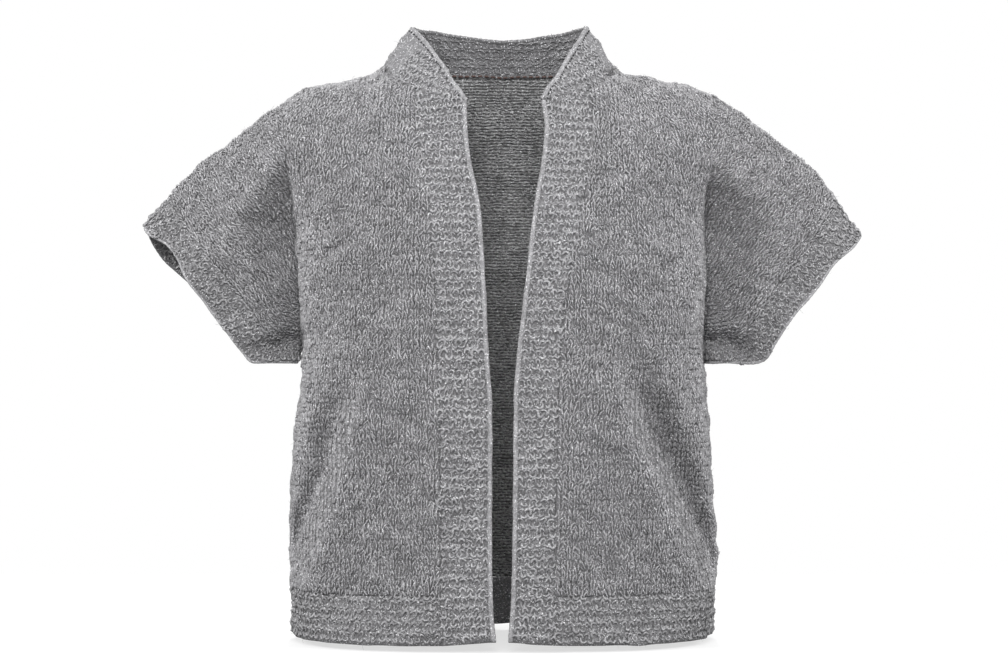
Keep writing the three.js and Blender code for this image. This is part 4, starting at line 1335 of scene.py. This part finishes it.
# The smooth strip along the free edge of a band, how far from the middle of the back the bands'
# knitting goes on up the collar, how much of the back's wrong side shows on either side of its
# middle, and how far from its seam the inside of a cuff shows.
SELVEDGE = 4.0
COLLAR_FRONT_FROM = 176.0
SHOWN_INSIDE = 80.0
CUFF_INSIDE = 18.0


def beyond_selvedge(across, _):
    return np.abs(across) > SELVEDGE


def near_front(across, _):
    return np.abs(across) > COLLAR_FRONT_FROM


def round_neck_only(across, up):
    return ~near_front(across, up)


def near_middle(across, _):
    return np.abs(across) < SHOWN_INSIDE


def near_mouth(_, up):
    return up > CUFF_INSIDE


# The stitches of each sort of node: label, side, gauge, shape, yarn and options.
STITCHES = {
    "front": [("stitches", None, "plain", "plain", "plain", {})],
    "back": [
        ("left_stitches", "left", "plain", "plain", "plain", {}),
        ("right_stitches", "right", "plain", "plain", "plain", {}),
        ("wrong_side_stitches", None, "purl", "purl", "inside",
         {"apart": INSIDE_APART, "within": near_middle}),
    ],
    "band": [("stitches", None, "garter", "loop", "border",
              {"within": beyond_selvedge, "reach": (0, 2.5)})],
    "hem": [("stitches", None, "moss", "loop", "dull_border", {"reach": (0, 3)})],
    "cuff": [
        ("stitches", None, "moss", "loop", "dull_border", {"reach": (3, 0)}),
        ("inner_stitches", None, "moss", "loop", "inside",
         {"within": near_mouth, "reach": (3, 0), "apart": INSIDE_APART}),
    ],
    "collar": [
        ("front_stitches", None, "garter", "loop", "border",
         {"within": near_front, "reach": (3, 0)}),
        ("round_stitches", None, "smooth", "plain", "smooth",
         {"within": round_neck_only, "reach": (3, 0)}),
        ("inner_stitches", None, "collar_moss", "wide_loop", "collar_inside",
         {"reach": (4, 0), "apart": INSIDE_APART}),
    ],
}


def knitted(name, shell, stitch, points, tree, yarn):
    piece = made_real(points, tree, Shell=shell, Stitch=stitch, Yarn=yarn)
    piece.name = name
    piece.data.name = name
    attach(piece, "root")
    return piece


def make_stitches(name, patches, shell, shapes, tree, materials):
    """The stitches of one node's cloth, as one piece for each kind and stretch of knitting."""
    random = np.random.default_rng(STITCH_SEED + len(name) + ord(name[-1]))
    made = []
    for label, side, gauge, shape, yarn, options in STITCHES[name.split("_")[0]]:
        points = joined_objects([
            lattice(f"{name}_points_{k}", low, high, gauge, random, **options)
            for k, (low, high) in enumerate(knit_bounds(patches, side))
        ])
        made.append(knitted(f"{name}_{label}", shell, shapes[shape], points, tree,
                            materials[yarn]))
    return made


# ---- Rolled edges, the neck's sewing and loose fibres ----

ROLL = {
    "radius": 2.5, "sides": 8, "spacing": 1.5, "sunk": 1.8, "ripple": 0.07, "stitch": 5.4,
    "aim_in": 6.0, "inward": 0.9,
}
CUFF_ROLL = {**ROLL, "radius": 1.5, "sunk": 2.4}
HOLES = {"from_edge": 5.4, "spacing": 5.4, "width": 0.75, "length": 1.25, "lift": 0.9, "sides": 4}
HOLE_SHAPE = (-1, -0.5, 0.5, 1)
NECK_SEAM = {
    "half_length": 172, "radius": 1.5, "below": 1.0, "depth": 4.6, "spacing": 2.0, "sides": 6,
}
NECK_THREAD = {"radius": 1.0, "dash": 5.4, "gap": 1.2, "proud": 1.2, "sides": 5}
THREAD_SHAPE = (0, 0.2, 0.8, 1)
HAIR = {"radius": 0.09, "sides": 3, "density": 7500.0, "seed": 3, "lean": 0.5, "size": (0.5, 1.3)}
HAIR_PATH = ((0, 0, -0.4), (1.4, 0.1, 1.1), (3.4, 0.5, 2.1), (5.6, 1.3, 2.4))


def strand_piece(name, strands, material):
    """A piece made of strands of one yarn."""
    piece = new_object(name, joined_mesh(name, strands))
    piece.data.materials.append(material)
    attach(piece, "root")
    return piece


def resampled(lines, spacing):
    """Lines of values that go with the points of the first one, at even steps along it."""
    lengths = run_lengths(lines[0])
    at = np.linspace(0, lengths[-1], max(2, round(lengths[-1] / spacing)) + 1)
    columns = [[np.interp(at, lengths, line[:, k]) for k in range(3)] for line in lines]
    return at, [np.stack(column, axis=-1) for column in columns]


def beside_edge(points, distance):
    """Points on the cloth that lie a distance in from its edge, the first point of each row."""
    lengths = run_lengths(points)
    return np.array([
        [np.interp(distance, run, row[:, k]) for k in range(3)]
        for run, row in zip(lengths, points)
    ])


def edge_roll(name, points, outward, material, roll=ROLL):
    """The rolled selvedge along a free edge: a soft tube, whose knitting ripples a little."""
    into = unit(beside_edge(points, roll["aim_in"]) - points[:, 0])
    inward = roll["radius"] * roll["inward"] * into
    centre = points[:, 0] + inward - roll["sunk"] * outward[:, 0]
    at, (centre, up) = resampled([centre, outward[:, 0]], roll["spacing"])
    ripple = 1 + roll["ripple"] * np.sin(2 * math.pi * at / roll["stitch"])
    return strand_piece(name, [tube(centre, roll["radius"] * ripple, roll["sides"], up)], material)


def edge_holes(name, points, outward, material):
    """The row of small stitch holes beside a rolled edge: near-black strands, painted shade where the
    holes are.
    """
    lift = HOLES["lift"] - SHELLS["border"]["inset"]
    line = beside_edge(points, HOLES["from_edge"]) + lift * outward[:, 0]
    _, (line, up) = resampled([line, outward[:, 0]], HOLES["spacing"])
    ahead = unit(np.gradient(line, axis=0))
    parts = []
    for place_at, way, top in zip(line, ahead, up):
        ends = [place_at + way * HOLES["length"] * t for t in HOLE_SHAPE]
        parts.append(tube(np.array(ends), HOLES["width"], HOLES["sides"], top))
    return strand_piece(name, parts, material)


def edge_trim(pieces, materials):
    """The rolled edges and holes of the collar, the bands and the cuffs, by node."""
    collar = pieces["collar"][0]
    edges = {"collar": [np.swapaxes(grid[::-1], 0, 1) for grid in (collar.points, collar.outward)]}
    for side in SIDES:
        band = pieces[f"band_{side}"][0]
        edges[f"band_{side}"] = [band.points, band.outward]
    made = {}
    for name, grids in edges.items():
        made[name] = [edge_roll(f"{name}_rolled_edge", *grids, materials["roll"])]
        if name == "collar":
            made[name].append(edge_holes(f"{name}_edge_holes", *grids, materials["hole"]))
    for side in SIDES:
        name = f"cuff_{side}"
        front, back = pieces[name]
        points = np.concatenate([front.points, back.points[-2::-1]])[:, ::-1]
        outward = np.concatenate([front.outward, back.outward[-2::-1]])[:, ::-1]
        roll = edge_roll(f"{name}_rolled_edge", points, outward, materials["border"], CUFF_ROLL)
        made[name] = [roll]
    return made


def neck_sewing(collar, materials):
    """The seam's ridge inside the back of the neck, and the thread that runs along it."""
    shown = np.abs(collar.knit[0, :, 0]) < NECK_SEAM["half_length"] * MM
    base, outward = collar.points[0, shown], collar.outward[0, shown]
    line = base - NECK_SEAM["depth"] * outward - (0, 0, NECK_SEAM["below"])
    _, (line, inward) = resampled([line, -outward], NECK_SEAM["spacing"])
    ridge = tube(line, NECK_SEAM["radius"], NECK_SEAM["sides"], inward)
    stitch = NECK_THREAD["dash"] + NECK_THREAD["gap"]
    _, (thread, top) = resampled([line, inward], stitch)
    share = NECK_THREAD["dash"] / stitch
    parts = []
    for start, end, up in zip(thread, thread[1:], top):
        raised = up * NECK_THREAD["proud"]
        places = [start + (end - start) * share * t + raised for t in THREAD_SHAPE]
        parts.append(tube(np.array(places), NECK_THREAD["radius"], NECK_THREAD["sides"], up))
    return [
        strand_piece("neck_seam_ridge", [ridge], materials["gap_shade"]),
        strand_piece("neck_seam_thread", parts, materials["thread"]),
    ]


def hair_tree():
    """Scatters loose fibres over the outside of a shell."""
    tree, nodes, given, made = new_group(
        "Loose fibres", "GeometryNodeTree",
        [
            ("Geometry", "NodeSocketGeometry", None), ("Shell", "NodeSocketObject", None),
            ("Fibre", "NodeSocketObject", None), ("Yarn", "NodeSocketMaterial", None),
            ("Density", "NodeSocketFloat", HAIR["density"]), ("Seed", "NodeSocketInt", 0),
        ],
        [("Geometry", "NodeSocketGeometry")],
    )
    shell = nodes.out("GeometryNodeObjectInfo", {"Object": given["Shell"]}, "Geometry")
    knit = nodes.out("GeometryNodeInputNamedAttribute", {"Name": "knit"}, "Attribute",
                     data_type="FLOAT_VECTOR")
    up = nodes.out("ShaderNodeSeparateXYZ", {"Vector": knit}, "Y")
    outside = nodes.out("FunctionNodeCompare", {"A": up, "B": INSIDE_APART / 2},
                        operation="GREATER_THAN")
    scatter = nodes.add("GeometryNodeDistributePointsOnFaces", {
        "Mesh": shell, "Selection": outside, "Density": given["Density"], "Seed": given["Seed"]})
    lean = HAIR["lean"]
    spin = nodes.out("FunctionNodeRandomValue", {
        "Min": (-lean, -lean, 0), "Max": (lean, lean, 2 * math.pi), "Seed": given["Seed"],
    }, "Value", data_type="FLOAT_VECTOR")
    turn = nodes.out("FunctionNodeRotateRotation", {
        "Rotation": scatter.outputs["Rotation"],
        "Rotate By": nodes.out("FunctionNodeEulerToRotation", {"Euler": spin}),
    }, rotation_space="LOCAL")
    smallest, largest = HAIR["size"]
    size = nodes.out("FunctionNodeRandomValue", {
        "Min": smallest, "Max": largest, "Seed": given["Seed"]}, "Value")
    fibre = nodes.out("GeometryNodeObjectInfo", {"Object": given["Fibre"]}, "Geometry")
    fibres = nodes.out("GeometryNodeInstanceOnPoints", {
        "Points": scatter.outputs["Points"], "Instance": fibre, "Rotation": turn, "Scale": size})
    real = nodes.out("GeometryNodeRealizeInstances", {"Geometry": fibres})
    yarn = nodes.out("GeometryNodeSetMaterial", {"Geometry": real, "Material": given["Yarn"]})
    nodes.give(made["Geometry"], yarn)
    return tree


def make_hairs(name, shell, fibre, tree, material):
    piece = made_real(new_object(name, bpy.data.meshes.new(name)), tree, Shell=shell,
                      Fibre=fibre, Yarn=material, Density=HAIR["density"], Seed=HAIR["seed"])
    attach(piece, "root")
    return piece


def joined_objects(objects):
    first, *others = objects
    if others:
        with bpy.context.temp_override(
            active_object=first, object=first, selected_objects=objects,
            selected_editable_objects=objects,
        ):
            bpy.ops.object.join()
    return first


def make_cardigan():
    materials = make_materials()
    pieces = garment_patches()
    joined_surface(pieces)
    tree = stitch_tree()
    shapes = {
        "plain": new_object("plain_stitch", plain_stitch()),
        "loop": new_object("loop", loop_stitch("loop", LOOP)),
        "wide_loop": new_object("wide_loop", loop_stitch("wide_loop", WIDE_LOOP)),
        "purl": new_object("purl_stitch", purl_stitch()),
    }
    hair = tube(np.array(HAIR_PATH), HAIR["radius"], HAIR["sides"])
    shapes["hair"] = new_object("hair", joined_mesh("hair", [hair]))
    fibres = hair_tree()
    trim = edge_trim(pieces, materials)
    trim["collar"] += neck_sewing(pieces["collar"][0], materials)
    for name, patches in pieces.items():
        kind, flat, area = CUTS[name]
        shell = make_shell(f"{name}_cloth", patches, kind)
        outer, inner = GROUNDS[kind]
        shell.data.materials.append(materials["collar_ground" if name == "collar" else outer])
        shell.data.materials.append(materials[inner])
        stitches = make_stitches(name, patches, shell, shapes, tree, materials)
        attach(shell, "root")
        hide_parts(name)
        stitches += trim.get(name, [])
        stitches.append(make_hairs(f"{name}_fibres", shell, shapes["hair"], fibres,
                                   materials["hair"]))
    for shape in shapes.values():
        bpy.data.objects.remove(shape)


# ---- Studio ----

CAMERA = {"place": (0.0015, -2.8, -0.254), "lens": 100, "sensor": 36}
FLOOR = {"z": -0.5565, "half_width": 3.0, "front": -2.0, "back": 0.75}
LAMPS = [
    {"name": "front_lamp", "place": (-0.1, -2.5, 0.7), "size": 1.3, "power": 60},
    {"name": "left_lamp", "place": (-2.5, -0.9, 0.9), "size": 1.0, "power": 44},
    {"name": "right_lamp", "place": (2.5, -0.9, 0.9), "size": 1.0, "power": 41},
    {"name": "top_lamp", "place": (0.0, -0.1, 2.2), "size": 3.0, "power": 26},
    {"name": "back_lamp", "place": (0.0, 2.6, 1.0), "size": 1.0, "power": 44},
]
BACKDROP_STRENGTH = 1.0
AMBIENT_STRENGTH = 0.22
AIM = (0, 0, -0.28)


def make_world():
    """A white backdrop, whose light on the object is softer than what the camera sees of it."""
    world = bpy.data.worlds.new("studio")
    world.use_nodes = True
    nodes = Nodes(world.node_tree)
    nodes.tree.nodes.clear()
    seen = nodes.out("ShaderNodeLightPath", output="Is Camera Ray")
    strength = nodes.out("ShaderNodeMapRange", {
        "Value": seen, "To Min": AMBIENT_STRENGTH, "To Max": BACKDROP_STRENGTH})
    light = nodes.out("ShaderNodeBackground", {"Color": (1, 1, 1, 1), "Strength": strength})
    nodes.add("ShaderNodeOutputWorld", {"Surface": light})
    return world


def make_studio():
    x, front, back = FLOOR["half_width"], FLOOR["front"], FLOOR["back"]
    mesh = bpy.data.meshes.new("floor")
    corners = [(-x, front), (x, front), (x, back), (-x, back)]
    mesh.from_pydata([(*corner, FLOOR["z"]) for corner in corners], [], [(0, 1, 2, 3)])
    floor = new_object("floor", mesh)
    mesh.materials.append(floor_material())
    for lamp in LAMPS:
        data = bpy.data.lights.new(lamp["name"], "AREA")
        data.shape = "DISK"
        data.size = lamp["size"]
        data.energy = lamp["power"]
        light = new_object(lamp["name"], data)
        light.location = lamp["place"]
        light.rotation_euler = (Vector(AIM) - light.location).to_track_quat("-Z", "Y").to_euler()
    scene = bpy.context.scene
    scene.world = make_world()
    data = bpy.data.cameras.new("camera")
    data.lens = CAMERA["lens"]
    data.sensor_width = CAMERA["sensor"]
    camera = new_object("camera", data)
    camera.location = CAMERA["place"]
    camera.rotation_euler = (math.pi / 2, 0, 0)
    scene.camera = camera
    scene.view_settings.view_transform = "Standard"


make_cardigan()
make_studio()
